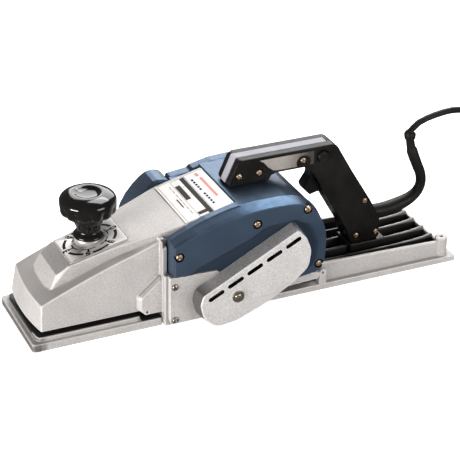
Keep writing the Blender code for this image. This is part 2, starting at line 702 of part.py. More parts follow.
def drive_belt():
    clear = 0.35
    outer = capsule(DRUM_AXIS, MOTOR_AXIS, DRUM_PULLEY_RADIUS + clear + BELT_THICK,
                    MOTOR_PULLEY_RADIUS + clear + BELT_THICK, 12)
    inner = capsule(DRUM_AXIS, MOTOR_AXIS, DRUM_PULLEY_RADIUS + clear, MOTOR_PULLEY_RADIUS + clear, 12)
    belt = place("drive_belt", prism(outer, "Y", -67, -58.5), RUBBER)
    cut(belt, prism(inner, "Y", -70, -55))
    return belt


def bearing(name, axis, low, high):
    return place(name, pipe("Y", axis, SHAFT_RADIUS, BEARING_RADIUS, low, high, 18), STEEL)


def motor():
    origin = (MOTOR_AXIS[0], 0, MOTOR_AXIS[1])
    shaft = SHAFT_RADIUS - 0.1
    profile = [(0, -68.6), (3.9, -68.6), (3.9, -54.2), (shaft, -54.2), (shaft, 47.6), (0, 47.6)]
    place("armature_shaft", turned(profile, "Y", MOTOR_AXIS, 20), STEEL, origin)
    bore = SHAFT_RADIUS + 0.2
    place("armature_core", pipe("Y", MOTOR_AXIS, bore, CORE_RADIUS, -18, 18, 28), STEEL, origin)
    place("commutator", pipe("Y", MOTOR_AXIS, bore, 11, 21, 34, 24), COPPER, origin)
    fan = place("cooling_fan", pipe("Y", MOTOR_AXIS, bore, 10, -38, -26, 24), BLACK, origin)
    join(fan, pipe("Y", MOTOR_AXIS, 9, 26, -38, -36.5, 24))
    for k in range(8):
        angle = math.radians(45 * k)
        along = Vector((math.cos(angle), math.sin(angle)))
        outline = leaning_box(Vector(MOTOR_AXIS) + along * 17.25, along, 8.25, 0.8)
        join(fan, prism(outline, "Y", -37, -27))
    place("stator", pipe("Y", MOTOR_AXIS, CORE_RADIUS + 1, STATOR_RADIUS, -18, 18, 28), STEEL)
    for name, side in (("a", 1), ("b", -1)):
        near, far = 12.6, 27.5
        z = sorted((MOTOR_AXIS[1] + side * near, MOTOR_AXIS[1] + side * far))
        x = MOTOR_AXIS[0]
        holder = place(f"brush_holder_{name}", block((x - 5, x + 5), (22.5, 32.5), z), BRASS)
        cut(holder, block((x - 3.4, x + 3.4), (24.1, 30.9), (z[0] - 1, z[1] + 1)))
        z = sorted((MOTOR_AXIS[1] + side * 11.4, MOTOR_AXIS[1] + side * 24))
        place(f"carbon_brush_{name}", block((x - 3.1, x + 3.1), (24.4, 30.6), z), CARBON)


# ---------------------------------------------------------------- handle


def handle_outline():
    return rounded([(-12.8, 103.8, 1), (27.5, 103.8, 0), (31, 110.2, 2), (64, 110, 3), (71.5, 102, 4),
                    (82.6, 81.2, 0), (107.4, 38.4, 8), (113.2, 21.3, 2), (142.8, 21.3, 2), (142.4, 43.0, 4),
                    (131.8, 62.8, 0), (110.1, 98.2, 0), (92.6, 127.0, 9), (-1.6, 127.2, 2.5)], 3)


def handle_half(name, side):
    low, high = sorted((side * 0.15, side * HANDLE_HALF))
    half = place(name, prism(handle_outline(), "Y", low, high), BLACK)
    switch_room = [(90, 85.4), (111, 85.4), (111, 93), (106.2, 98.4), (98, 110.6), (90, 110.6)]
    cut(half, prism(switch_room, "Y", -9.3, 9.3))
    cut(half, block((50, 90.4), (-6.4, 6.4), (74, 107.2)))
    cut(half, rod("X", (0, 43.6), 7.5, 135, 160, 16))
    if side < 0:
        cut(half, rod("Y", (79.9, 117.7), 5.8, -14, -4.5, 20))
    return half


def handle_screws(near, far):
    spots = ((60.9, 116.7), (-1.8, 112.6), (17.7, 112.8), (126.0, 63.2), (119.0, 28.3), (139.4, 28.4))
    for number, (x, z) in enumerate(spots, 1):
        head = (x, -HANDLE_HALF - 0.2, z)
        for half in (near, far):
            cut(half, rod("Y", (x, z), 1.6 + 2 * GAP, -11, 8, 8))
        cut(near, rod("Y", (x, z), 2.8 + 2 * GAP, -20, -HANDLE_HALF + 2.2, 10))
        screw(f"handle_screw_{number}", head, 19.6, 2.8, 1.6, COPPER)


def handle_trim():
    outline = [(-12.6, 106.2), (-2.4, 127.5), (87, 127.3), (87, 128.1), (-2.9, 128.3), (-13.4, 106.6)]
    return place("handle_trim", prism(outline, "Y", -5, 5), PLATE)


def trigger():
    outline = rounded([(71, 106.6, 1.5), (71.4, 100, 6), (66.3, 85.2, 2), (69.4, 81.2, 2), (73.4, 78.4, 2),
                       (79.3, 79.4, 3), (84.4, 78.4, 1), (84.4, 106.6, 1)], 3)
    return place("trigger", prism(outline, "Y", -6, 6), BLACK, (72, 0, 93))


def lock_button():
    profile = [(0, -8), (5.4, -8), (5.4, -14), (4.6, -14.8), (0, -15.0)]
    return place("lock_button", turned(profile, "Y", (79.9, 117.7), 20), BLACK, (79.9, -8, 117.7))


def switch_body():
    outline = [(90.4, 86), (108.6, 86), (108.6, 93), (104.6, 98.4), (97.4, 110), (90.4, 110)]
    return place("switch_body", prism(outline, "Y", -8.8, 8.8), CARBON)


# ---------------------------------------------------------------- cord


def cord_pieces():
    guard = smooth_route(GUARD_STOPS, 9)
    radii = [6.9 - 2.5 * i / (len(guard) - 1) for i in range(len(guard))]
    radii[-1] = 5.6
    tube("cord_guard", guard, radii, RUBBER, 3)
    route = smooth_route(CORD_STOPS, CORD_STEP)
    tube("cord", route, [CORD_RADIUS] * len(route), RUBBER, 2)
    band = COIL_TURNS_ACROSS * CORD_RADIUS
    inner, outer = COIL_MEAN_RADIUS - band, COIL_MEAN_RADIUS + band
    place("cord_coil", pipe("Z", COIL_CENTRE, inner, outer, 0.2, COIL_HEIGHT, 36), RUBBER)


def plug():
    """A moulded two-pin plug lying beside the coil, its tapered tail towards the coil."""
    x, y, z = 262.0, -52.4, 14.5
    body = rounded([(y - 13, z - 14.3, 5), (y + 13, z - 14.3, 5), (y + 13, z + 8, 5), (y - 13, z + 8, 5)], 3)
    made = place("plug", prism(body, "X", x - 14, x + 14), BLACK)
    join(made, turned([(0, x + 10), (8, x + 13), (4.2, x + 40), (0, x + 40)], "X", (y, z), 16))
    for side in (-6.3, 6.3):
        join(made, rod("X", (y + side, z - 3), 2.2, x - 32, x - 12, 10))
    return made


def build():
    clear_scene()
    front_shoe()
    main_frame()
    rear_base()
    motor_housing()
    cover_screws(near_side_cover())
    far_side_cover()
    chip_chute()
    plate_screws(side_plate())
    belt_cover()
    belt_cover_screw()
    dial_plate()
    name_plate()
    knob()
    knob_spindle()
    knob_collar()
    depth_spring()
    drum_origin = (DRUM_AXIS[0], 0, DRUM_AXIS[1])
    motor_origin = (MOTOR_AXIS[0], 0, MOTOR_AXIS[1])
    drum_body()
    blades_and_clamps()
    pulley("drum_pulley", DRUM_AXIS, DRUM_PULLEY_RADIUS, 4.2, -67.5, -58, drum_origin)
    pulley("motor_pulley", MOTOR_AXIS, MOTOR_PULLEY_RADIUS, 4.2, -67.5, -58, motor_origin)
    drive_belt()
    bearing("drum_bearing_near", DRUM_AXIS, -50, -43.4)
    bearing("drum_bearing_far", DRUM_AXIS, 43.4, 48.2)
    bearing("motor_bearing_near", MOTOR_AXIS, -53.2, -45.6)
    bearing("motor_bearing_far", MOTOR_AXIS, 39.6, 47.6)
    motor()
    near = handle_half("handle_half_near", -1)
    far = handle_half("handle_half_far", 1)
    handle_screws(near, far)
    handle_trim()
    trigger()
    lock_button()
    switch_body()
    cord_pieces()
    plug()


build()
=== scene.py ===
"""Looks for the hand-held electric planer: fine meshes, materials, floor, lights and camera.

Lengths are in millimetres unless a name says otherwise, and MM turns them into metres.
+X runs to the rear (the cord end), -Y is the belt side, +Z is up and z = 0 is the sole.
"""

import math

import bmesh
import bpy
from mathutils import Matrix, Vector


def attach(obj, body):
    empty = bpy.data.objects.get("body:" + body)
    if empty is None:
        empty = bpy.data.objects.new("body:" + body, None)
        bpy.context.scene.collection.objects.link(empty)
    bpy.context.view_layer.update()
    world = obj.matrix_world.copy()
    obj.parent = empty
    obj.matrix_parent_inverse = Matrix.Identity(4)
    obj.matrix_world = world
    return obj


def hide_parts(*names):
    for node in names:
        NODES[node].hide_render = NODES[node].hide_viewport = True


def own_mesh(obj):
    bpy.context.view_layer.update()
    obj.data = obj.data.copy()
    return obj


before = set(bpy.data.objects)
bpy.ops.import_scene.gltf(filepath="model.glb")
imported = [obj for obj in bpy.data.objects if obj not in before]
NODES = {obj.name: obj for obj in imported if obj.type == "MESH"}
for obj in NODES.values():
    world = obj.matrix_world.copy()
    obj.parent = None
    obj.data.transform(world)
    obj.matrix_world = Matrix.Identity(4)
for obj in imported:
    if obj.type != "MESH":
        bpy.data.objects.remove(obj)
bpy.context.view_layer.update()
MM = 0.001

# Axes and screws of the tool: (x, z) for what points along Y.
KNOB_X = -138.8
DRUM_AXIS = (-44.0, 25.5)
CHAMBER_RADIUS = 28.0
BELT_SCREW = (-28.6, 29.8)
BUTTON_AXIS = (79.9, 117.7)
COVER_SCREWS = ((-77.6, 71.6), (-4.9, 88.8), (43.6, 93.6), (56.2, 36.8))
HANDLE_SCREWS = ((60.9, 116.7), (-1.8, 112.6), (17.7, 112.8), (126.0, 63.2), (119.0, 28.3), (139.4, 28.4))

# The nose's top slopes up to the rear from this point.
SLOPE = 0.24
SLOPE_START = (-164.7, 67.0)

CAST_ANGLE = 50.0
INK_HEIGHT = 0.08


def slope_z(x):
    """The height of the nose's sloping top at x."""
    return SLOPE_START[1] + SLOPE * (x - SLOPE_START[0])


KNOB_FOOT = slope_z(KNOB_X) + 4.6


# ---------------------------------------------------------------- camera


def make_camera():
    """The camera at the photograph's view: a long lens from the front left, looking down."""
    data = bpy.data.cameras.new("camera")
    data.sensor_width = 36.0
    data.lens = 130.37
    camera = bpy.data.objects.new("camera", data)
    right = Vector((0.91187, -0.41021, 0.01501))
    up = Vector((0.18459, 0.44246, 0.87758))
    turn = Matrix((right, up, right.cross(up))).transposed()
    camera.matrix_world = Matrix.Translation((-0.5540, -1.1948, 0.7722)) @ turn.to_4x4()
    bpy.context.scene.collection.objects.link(camera)
    bpy.context.scene.camera = camera


make_camera()


# ---------------------------------------------------------------- node materials


class Nodes:
    """A small helper that builds one material's node tree."""

    def __init__(self, name, roughness=0.5, metallic=0.0):
        self.material = bpy.data.materials.new(name)
        self.material.use_nodes = True
        self.tree = self.material.node_tree
        self.shader = self.tree.nodes["Principled BSDF"]
        self.set("Roughness", roughness)
        self.set("Metallic", metallic)
        self.place = self.tree.nodes.new("ShaderNodeTexCoord").outputs["Object"]

    def set(self, socket, value):
        self.shader.inputs[socket].default_value = value

    def link(self, a, b):
        self.tree.links.new(a, b)
        return a

    def node(self, kind, inputs=(), **settings):
        made = self.tree.nodes.new(kind)
        for key, value in settings.items():
            setattr(made, key, value)
        for key, value in dict(inputs).items():
            if isinstance(value, bpy.types.NodeSocket):
                self.link(value, made.inputs[key])
            else:
                made.inputs[key].default_value = value
        return made

    def noise(self, size, detail=2.0, rough=0.5, stretch=None):
        """Noise whose blobs are about size millimetres across."""
        place = self.place
        if stretch:
            place = self.node("ShaderNodeMapping", {"Vector": place, "Scale": stretch}).outputs["Vector"]
        scale = {"Vector": place, "Scale": 1000.0 / size, "Detail": detail, "Roughness": rough}
        return self.node("ShaderNodeTexNoise", scale).outputs["Fac"]

    def ramp(self, value, low, high, start=0.0, end=1.0):
        mapped = {"Value": value, "From Min": low, "From Max": high, "To Min": start, "To Max": end}
        return self.node("ShaderNodeMapRange", mapped).outputs["Result"]

    def math(self, operation, a, b=0.0):
        return self.node("ShaderNodeMath", {0: a, 1: b}, operation=operation).outputs[0]

    def times(self, first, *others):
        """The product of some masks."""
        for other in others:
            first = self.math("MULTIPLY", first, other)
        return first

    def most(self, first, *others):
        """The largest of some masks."""
        for other in others:
            first = self.math("MAXIMUM", first, other)
        return first

    def above(self, value, limit):
        return self.math("GREATER_THAN", value, limit)

    def below(self, value, limit):
        return self.math("LESS_THAN", value, limit)

    def mix(self, share, a, b):
        made = self.node("ShaderNodeMix", data_type="RGBA")
        for socket, value in ((0, share), (6, a), (7, b)):
            if isinstance(value, bpy.types.NodeSocket):
                self.link(value, made.inputs[socket])
            else:
                made.inputs[socket].default_value = value if socket == 0 else (*value, 1.0)
        return made.outputs[2]

    def edges(self, low=0.505, high=0.56):
        """1 on outward edges, by the mesh's pointiness: edge wear, and on cast metal a painted edge highlight."""
        return self.ramp(self.node("ShaderNodeNewGeometry").outputs["Pointiness"], low, high)

    def axis(self, name):
        return self.node("ShaderNodeSeparateXYZ", {"Vector": self.place}).outputs[name]

    def up(self):
        """The surface normal's upward share."""
        normal = self.node("ShaderNodeNewGeometry").outputs["Normal"]
        return self.node("ShaderNodeSeparateXYZ", {"Vector": normal}).outputs["Z"]

    def colour(self, value):
        self.link(value, self.shader.inputs["Base Color"])

    def roughness(self, value):
        self.link(value, self.shader.inputs["Roughness"])

    def bump(self, height, strength, distance, before=None):
        made = self.node("ShaderNodeBump", {"Height": height, "Strength": strength, "Distance": distance * MM})
        if before:
            self.link(before, made.inputs["Normal"])
        self.link(made.outputs["Normal"], self.shader.inputs["Normal"])
        return made.outputs["Normal"]


def toned(base, factor):
    """A darker or brighter shade of a colour."""
    return tuple(min(0.9, c * factor) for c in base)


def cast_metal(name, base, shade_mask=None, depth=0.10, metallic=0.2, darken_mask=None):
    """Tumbled cast aluminium: a fine grain, soft stains, brighter edges for wear and a painted highlight, a darker
    tone where asked, which on the nose and shoe is painted shade, and painted shadow and shade where asked.
    """
    n = Nodes(name, 0.5, metallic)
    stain = n.ramp(n.noise(26, 3), 0.35, 0.7)
    speck = n.ramp(n.noise(1.3, 3, 0.65), 0.38, 0.66)
    tone = n.mix(stain, base, toned(base, 0.86))
    tone = n.mix(n.times(speck, 0.62), tone, toned(base, 0.55))
    # Painted shade where the mask asks on the nose and shoe; on the belt cover, a darker tone over its side.
    if darken_mask:
        darker_tone = n.mix(speck, toned(base, 0.24), toned(base, 0.55))
        tone = n.mix(darken_mask(n), tone, darker_tone)
    # Brighter edges: edge wear and a painted highlight along the creases.
    tone = n.mix(n.times(n.edges(0.506, 0.535), 0.5), tone, toned(base, 1.5))
    # Painted shadow and shade: a near-black tone where the mask asks.
    if shade_mask:
        tone = n.mix(shade_mask(n), tone, (0.020, 0.018, 0.016))
    n.colour(tone)
    n.roughness(n.ramp(n.noise(5, 3), 0.3, 0.7, 0.40, 0.56))
    rough = n.bump(n.noise(1.6, 3, 0.6), 0.35, depth * 2)
    n.bump(n.noise(0.55, 2), 0.35, depth, rough)
    return n.material


def paint(name, base, roughness=0.33, shade_mask=None):
    """Sprayed blue paint over a casting, with a faint orange peel, worn edges and painted shadow and shade where
    asked.
    """
    n = Nodes(name, roughness)
    n.set("Specular IOR Level", 1.0)
    n.set("Specular Tint", (0.26, 0.56, 1.0, 1.0))
    tone = n.mix(n.ramp(n.noise(30, 3), 0.3, 0.7), base, toned(base, 0.82))
    tone = n.mix(n.times(n.ramp(n.noise(1.1, 2), 0.4, 0.7), 0.16), tone, toned(base, 1.5))
    tone = n.mix(n.times(n.edges(0.51, 0.58), 0.35), tone, toned(base, 2.0))
    # Painted shadow and shade: a near-black tone where the mask asks.
    if shade_mask:
        tone = n.mix(shade_mask(n), tone, (0.008, 0.008, 0.009))
    n.colour(tone)
    n.roughness(n.ramp(n.noise(6, 3), 0.3, 0.7, roughness - 0.04, roughness + 0.08))
    peel = n.bump(n.noise(3.0, 2), 0.25, 0.10)
    n.bump(n.noise(0.8, 2), 0.2, 0.05, peel)
    return n.material


def plastic(name, base, roughness=0.2, grain=0.02, size=0.7, specular=0.5):
    """Moulded plastic or rubber with faint handling marks."""
    n = Nodes(name, roughness)
    n.set("Specular IOR Level", specular)
    n.colour(n.mix(n.ramp(n.noise(18, 3), 0.35, 0.7), base, toned(base, 1.6)))
    n.roughness(n.ramp(n.noise(7, 4), 0.3, 0.75, max(0.03, roughness - 0.05), roughness + 0.12))
    n.bump(n.noise(size, 2), 0.3, grain)
    return n.material


def satin_panel(name, base):
    """The handle's satin inlay, with a painted reflection that lightens it towards its front end."""
    n = Nodes(name, 0.3)
    painted_reflection = n.ramp(n.axis("X"), 0.066, 0.040, 0.0, 1.0)
    n.colour(n.mix(painted_reflection, toned(base, 0.14), base))
    n.roughness(n.ramp(n.noise(7, 4), 0.3, 0.75, 0.24, 0.36))
    return n.material


def bare_metal(name, base, roughness=0.28, axis=None, depth=0.01):
    """Turned, ground or plated metal with fine machining lines."""
    n = Nodes(name, roughness, 1.0)
    stretch = {None: (1, 1, 1), "X": (0.05, 1, 1), "Y": (1, 0.05, 1), "Z": (1, 1, 0.05)}[axis]
    n.colour(n.mix(n.ramp(n.noise(4, 3), 0.35, 0.7), base, toned(base, 0.72)))
    n.roughness(n.ramp(n.noise(2.5, 3), 0.3, 0.7, roughness - 0.06, roughness + 0.12))
    n.bump(n.noise(0.5, 2, 0.5, stretch), 0.4, depth)
    return n.material


def flat_print(name, base, roughness=0.35, metallic=0.0, specular=0.5):
    """Printed ink or anodised sheet with slight unevenness."""
    n = Nodes(name, roughness, metallic)
    n.set("Specular IOR Level", specular)
    n.colour(n.mix(n.ramp(n.noise(9, 3), 0.35, 0.7), base, toned(base, 0.9)))
    n.bump(n.noise(0.6, 2), 0.2, 0.01)
    return n.material


def nose_painted_shade(n):
    """Painted shade on the nose: on the ledge and front of its ridge, its rear rib and its guide lug."""
    x, y, z = n.axis("X"), n.axis("Y"), n.axis("Z")
    front = n.times(n.ramp(x, -0.1635, -0.1665), n.ramp(z, 0.0690, 0.0670), n.ramp(z, 0.0555, 0.0575), 0.7)
    ahead = n.times(n.ramp(x, -0.150, -0.180), 0.5)
    ledge = n.times(n.ramp(x, -0.100, -0.112), n.ramp(y, -0.0275, -0.0300), 0.5)
    level = n.times(n.ramp(n.up(), 0.66, 0.74), n.most(front, ahead, ledge))
    rib = n.times(n.above(x, -0.0886), n.below(y, -0.0384), 0.4)
    lug = n.times(n.below(y, -0.0396), n.ramp(n.up(), 0.3, 0.5, 0.0, 0.7))
    return n.most(level, lug, rib)


def shoe_front_painted_shade(n):
    """Painted shade on the shoe in front of the nose, strongest on its front wall."""
    return n.times(n.ramp(n.axis("X"), -0.193, -0.197), n.ramp(n.up(), 0.3, 0.6, 1.0, 0.5))


def cover_side(n):
    """1 on the side of the belt cover, behind its ground face."""
    return n.ramp(n.axis("Y"), -0.0704, -0.0698)


def cover_side_darkening(n):
    """A darker tone over the belt cover's whole side."""
    return n.times(cover_side(n), 0.9)


def cover_front_painted_shade(n):
    """Painted shade round the belt cover's front end."""
    return n.times(cover_side(n), n.ramp(n.axis("X"), -0.050, -0.060), 0.72)


def shoe_painted_gap_shadow(n):
    """Painted shadow: 1 on the part of the shoe's pad that lies under the nose, and less on the shoe's front wall."""
    x, y, z = n.axis("X"), n.axis("Y"), n.axis("Z")
    wide = n.math("ABSOLUTE", y)
    bow = n.math("ADD", n.times(n.math("POWER", y, 2.0), 2.51), n.times(y, -0.0178))
    front = n.above(n.math("SUBTRACT", x, bow), -0.2048)
    top = n.above(n.math("ADD", z, n.times(n.below(x, -0.1975), 0.0022)), 0.0104)
    pad = n.times(front, n.below(x, -0.088), n.below(wide, 0.0400), top)
    behind = n.times(n.above(x, -0.1075), n.below(x, -0.0885), n.below(wide, 0.0435), n.above(z, 0.0068))
    ahead = n.times(n.below(x, -0.200), n.ramp(n.up(), 0.3, 0.6, 0.4, 0.0))
    return n.most(pad, behind, ahead)


def trough_painted_shade(n):
    """Painted shade: 1 in the rear base's troughs, below the tops of its ribs, and on the handle's seat."""
    x, y, z = n.axis("X"), n.axis("Y"), n.axis("Z")
    wide = n.math("ABSOLUTE", y)
    rib = n.ramp(z, 0.0180, 0.0188, 0.95, 0.5)
    seat = n.times(n.above(x, 0.1105), n.below(x, 0.1505), n.below(wide, 0.0152))
    return n.times(n.below(wide, 0.0372), n.most(rib, seat), n.above(z, 0.0045), n.below(x, 0.1925))


def bore_painted_shadow(n):
    """Painted shadow: 1 inside the near cover's screw counterbores, and less, as painted shade, in its hollow."""
    x, y, z = n.axis("X"), n.axis("Y"), n.axis("Z")
    circles = []
    for a, c in COVER_SCREWS:
        across = n.math("POWER", n.math("SUBTRACT", x, a * MM), 2.0)
        rise = n.math("POWER", n.math("SUBTRACT", z, c * MM), 2.0)
        circles.append(n.below(n.math("ADD", across, rise), (4.5 * MM) ** 2))
    bores = n.times(n.most(*circles), n.above(y, -0.0578))
    hollow = n.times(n.ramp(y, -0.0576, -0.0560, 0.0, 0.45), n.below(y, -0.0540))
    return n.most(bores, hollow)


SILVER = (0.58, 0.55, 0.53)
PAINT = (0.038, 0.049, 0.068)
ALUMINIUM = cast_metal("cast_aluminium", SILVER)
FRAME_METAL = cast_metal("frame_aluminium", SILVER, darken_mask=nose_painted_shade)
SHOE_METAL = cast_metal("shoe_aluminium", SILVER, shoe_painted_gap_shadow, darken_mask=shoe_front_painted_shade)
BASE_METAL = cast_metal("base_aluminium", SILVER, trough_painted_shade)
COVER_METAL = cast_metal("cover_aluminium", (0.66, 0.635, 0.62), cover_front_painted_shade, 0.16, darken_mask=cover_side_darkening)
BLUE = paint("blue_paint", PAINT)
COVER_BLUE = paint("cover_blue_paint", PAINT, shade_mask=bore_painted_shadow)
GLOSS = plastic("gloss_black", (0.006, 0.0055, 0.005), 0.08, 0.004)
HANDLE = plastic("handle_black", (0.009, 0.0083, 0.0075), 0.32, 0.02, specular=0.14)
PANEL = satin_panel("handle_panel", (0.37, 0.33, 0.30))
RUBBER = plastic("black_rubber", (0.009, 0.008, 0.007), 0.45, 0.05, 0.9, specular=0.2)
STEEL = bare_metal("steel", (0.52, 0.51, 0.50))
ZINC = bare_metal("zinc_screw", (0.55, 0.50, 0.40), 0.34)
COPPER = bare_metal("copper_screw", (0.84, 0.60, 0.42), 0.36)
GROUND = bare_metal("ground_steel", (0.55, 0.54, 0.53), 0.25, "Y")
TRIM = flat_print("bright_trim", (0.44, 0.43, 0.48), 0.6, 0.1, 0.3)
RING = flat_print("bright_ring", (0.50, 0.49, 0.48), 0.35, 0.4)
PLATE = flat_print("plate_grey", (0.64, 0.61, 0.59), 0.4, 0.3)
WHITE = flat_print("plate_white", (0.86, 0.87, 0.90), 0.35)
INK = flat_print("ink_black", (0.010, 0.009, 0.008), 0.6, specular=0.05)
INK_GREY = flat_print("ink_grey", (0.060, 0.054, 0.050), 0.6, specular=0.05)
INK_RED = flat_print("ink_red", (0.78, 0.20, 0.12), 0.4)
CARBON = plastic("carbon", (0.03, 0.03, 0.032), 0.6, 0.05)


# ---------------------------------------------------------------- mesh helpers


def show(obj):
    """Puts an object in the scene, if it isn't there yet."""
    if obj.name not in bpy.context.scene.collection.objects:
        bpy.context.scene.collection.objects.link(obj)
    return obj


def link(obj, body="frame", slot=None, *nodes):
    """Shows a piece, lets it ride on a body and stand for CAD nodes."""
    show(obj)
    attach(obj, body)
    if nodes:
        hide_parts(*nodes)
    return obj


def at(point, axis, level):
    """A point of an outline put in space: an X outline is (y, z), a Y one (x, z) and a Z one (x, y)."""
    a, b = point
    return {"X": (level, a, b), "Y": (a, level, b), "Z": (a, b, level)}[axis]


def arc(centre, radius, start, end, steps):
    turn = [math.radians(start + (end - start) * i / steps) for i in range(steps + 1)]
    return [(centre[0] + radius * math.cos(a), centre[1] + radius * math.sin(a)) for a in turn]


def pointing(degrees):
    """A flat unit vector at an angle."""
    turn = math.radians(degrees)
    return Vector((math.cos(turn), math.sin(turn)))


def rounded(corners, steps=8):
    """An outline from (a, b, radius) corners, each with a radius turned into an arc's points."""
    outline = []
    count = len(corners)
    for i, (a, b, radius) in enumerate(corners):
        here = Vector((a, b))
        before = (Vector(corners[i - 1][:2]) - here).normalized()
        after = (Vector(corners[(i + 1) % count][:2]) - here).normalized()
        if radius <= 0:
            outline.append((a, b))
            continue
        half = before.angle(after) / 2
        reach = radius / math.tan(half)
        centre = here + (before + after).normalized() * radius / math.sin(half)
        first = here + before * reach - centre
        sweep = first.angle_signed(here + after * reach - centre)
        for k in range(steps + 1):
            spoke = first.copy()
            spoke.rotate(Matrix.Rotation(-sweep * k / steps, 2))
            outline.append(tuple(centre + spoke))
    return outline


def rectangle(x, y, radius, steps):
    """The outline of a rounded rectangle between two x and two y."""
    (a, b), (c, d) = x, y
    return rounded([(a, c, radius), (b, c, radius), (b, d, radius), (a, d, radius)], steps)


def shrunk(outline, middle, share):
    """An outline drawn in towards a middle point by a share of the way."""
    return [tuple(Vector(p).lerp(Vector(middle), share)) for p in outline]


def skin(rings, loop=False):
    """A mesh through rings of points that all have the same count, closed at its ends or in a loop."""
    shape = bmesh.new()
    made = [[shape.verts.new(p) for p in ring] for ring in rings]
    pairs = list(zip(made, made[1:]))
    if loop:
        pairs.append((made[-1], made[0]))
    for one, other in pairs:
        for i in range(len(one)):
            j = (i + 1) % len(one)
            shape.faces.new((one[i], one[j], other[j], other[i]))
    if not loop:
        shape.faces.new(made[0])
        shape.faces.new(made[-1])
    return shape


def prism(outline, axis, low, high):
    return skin([[at(p, axis, low) for p in outline], [at(p, axis, high) for p in outline]])


def block(x, y, z):
    return prism([(x[0], y[0]), (x[1], y[0]), (x[1], y[1]), (x[0], y[1])], "Z", z[0], z[1])


def bar(centre, along, start, end, half, axis="Z", low=0.0, high=INK_HEIGHT):
    """A straight bar that runs from start to end of the way along a flat direction from its centre."""
    across = Vector((-along.y, along.x))
    corners = ((start, -half), (end, -half), (end, half), (start, half))
    return prism([Vector(centre) + along * u + across * v for u, v in corners], axis, low, high)


def turned(profile, axis, centre, steps=48):
    """A solid of revolution from (radius, height) points; a radius of 0 is a point on the axis."""
    shape = bmesh.new()
    rings = []
    for radius, height in profile:
        if radius == 0:
            rings.append([shape.verts.new(at(centre, axis, height))])
            continue
        circle = arc(centre, radius, 0, 360 * (steps - 1) / steps, steps - 1)
        rings.append([shape.verts.new(at(p, axis, height)) for p in circle])
    for low, high in zip(rings, rings[1:]):
        for i in range(steps):
            j = (i + 1) % steps
            corners = [low[i % len(low)], low[j % len(low)], high[j % len(high)], high[i % len(high)]]
            shape.faces.new(list(dict.fromkeys(corners)))
    return shape


def rod(axis, centre, radius, low, high, steps=32):
    return turned([(0, low), (radius, low), (radius, high), (0, high)], axis, centre, steps)


def ring_of(profile, axis, centre, steps=48):
    """A ring of revolution from a closed section of (radius, height) points."""
    rings = [[at(p, axis, h) for p in arc(centre, r, 0, 360 * (steps - 1) / steps, steps - 1)] for r, h in profile]
    return skin(rings, loop=True)


def merge(*shapes):
    """Several loose shapes in one mesh."""
    whole = bmesh.new()
    for shape in shapes:
        mesh = bpy.data.meshes.new("part")
        shape.to_mesh(mesh)
        shape.free()
        whole.from_mesh(mesh)
        bpy.data.meshes.remove(mesh)
    return whole


def solid(name, shape, material, smooth_angle=35.0):
    """An unlinked object of a shape in millimetres."""
    bmesh.ops.recalc_face_normals(shape, faces=shape.faces)
    shape.transform(Matrix.Scale(MM, 4))
    mesh = bpy.data.meshes.new(name)
    shape.to_mesh(mesh)
    shape.free()
    mesh.shade_smooth()
    mesh.set_sharp_from_angle(angle=math.radians(smooth_angle))
    if material:
        mesh.materials.append(material)
    return bpy.data.objects.new(name, mesh)


def apply_all(obj):
    """Turns an object's modifiers into its mesh."""
    graph = bpy.context.evaluated_depsgraph_get()
    mesh = bpy.data.meshes.new_from_object(obj.evaluated_get(graph))
    obj.modifiers.clear()
    old = obj.data
    obj.data = mesh
    bpy.data.meshes.remove(old)
    return obj


def bevelled(obj, width, segments=3, angle=40.0):
    """Rounds the sharp edges of a clean mesh, with flat faces kept flat."""
    edge = obj.modifiers.new("edge", "BEVEL")
    edge.width = width * MM
    edge.segments = segments
    edge.limit_method = "ANGLE"
    edge.angle_limit = math.radians(angle)
    edge.harden_normals = True
    return obj


def boolean(obj, shapes, operation="DIFFERENCE", lining=None):
    """Cuts or adds shapes; a lining is the material of the faces that a cut leaves."""
    show(obj)
    tools = []
    for shape in shapes:
        tool = show(solid(f"{obj.name}_tool", shape, lining))
        tools.append(tool)
        step = obj.modifiers.new("tool", "BOOLEAN")
        step.operation = operation
        step.solver = "EXACT"
        step.material_mode = "TRANSFER" if lining else "INDEX"
        step.object = tool
    apply_all(obj)
    for tool in tools:
        bpy.data.objects.remove(tool)
    return obj


def cast_shading(obj):
    """Smooth shading, with sharp edges where a casting's faces meet steeply."""
    obj.data.shade_smooth()
    obj.data.set_sharp_from_angle(angle=math.radians(CAST_ANGLE))


def remesh_soft(obj, voxel, rounds, keep):
    """Rounds every edge: remeshes an object in small cubes, smooths it and thins its faces."""
    show(obj)
    remesh = obj.modifiers.new("remesh", "REMESH")
    remesh.mode = "VOXEL"
    remesh.voxel_size = voxel * MM
    soften = obj.modifiers.new("soften", "SMOOTH")
    soften.factor = 0.5
    soften.iterations = rounds
    thin = obj.modifiers.new("thin", "DECIMATE")
    thin.ratio = keep
    apply_all(obj)
    cast_shading(obj)
    return obj


def cast(node, material, voxel=0.7, rounds=6, cut=(), add_objects=(), late_cut=(), keep=0.5):
    """A cast piece: the CAD solid with more detail and rounded edges, and late cuts that stay sharp."""
    obj = show(bpy.data.objects.new(f"{node}_casting", NODES[node].data.copy()))
    obj.data.materials.clear()
    weld = obj.modifiers.new("weld", "WELD")
    weld.merge_threshold = 0.00001
    apply_all(obj)
    if cut:
        boolean(obj, cut)
    for other in add_objects:
        step = obj.modifiers.new("add", "BOOLEAN")
        step.operation = "UNION"
        step.solver = "EXACT"
        step.object = other
        apply_all(obj)
        bpy.data.objects.remove(other)
    remesh_soft(obj, voxel, rounds, keep)
    if late_cut:
        boolean(obj, late_cut)
        cast_shading(obj)
    obj.data.materials.append(material)
    return obj


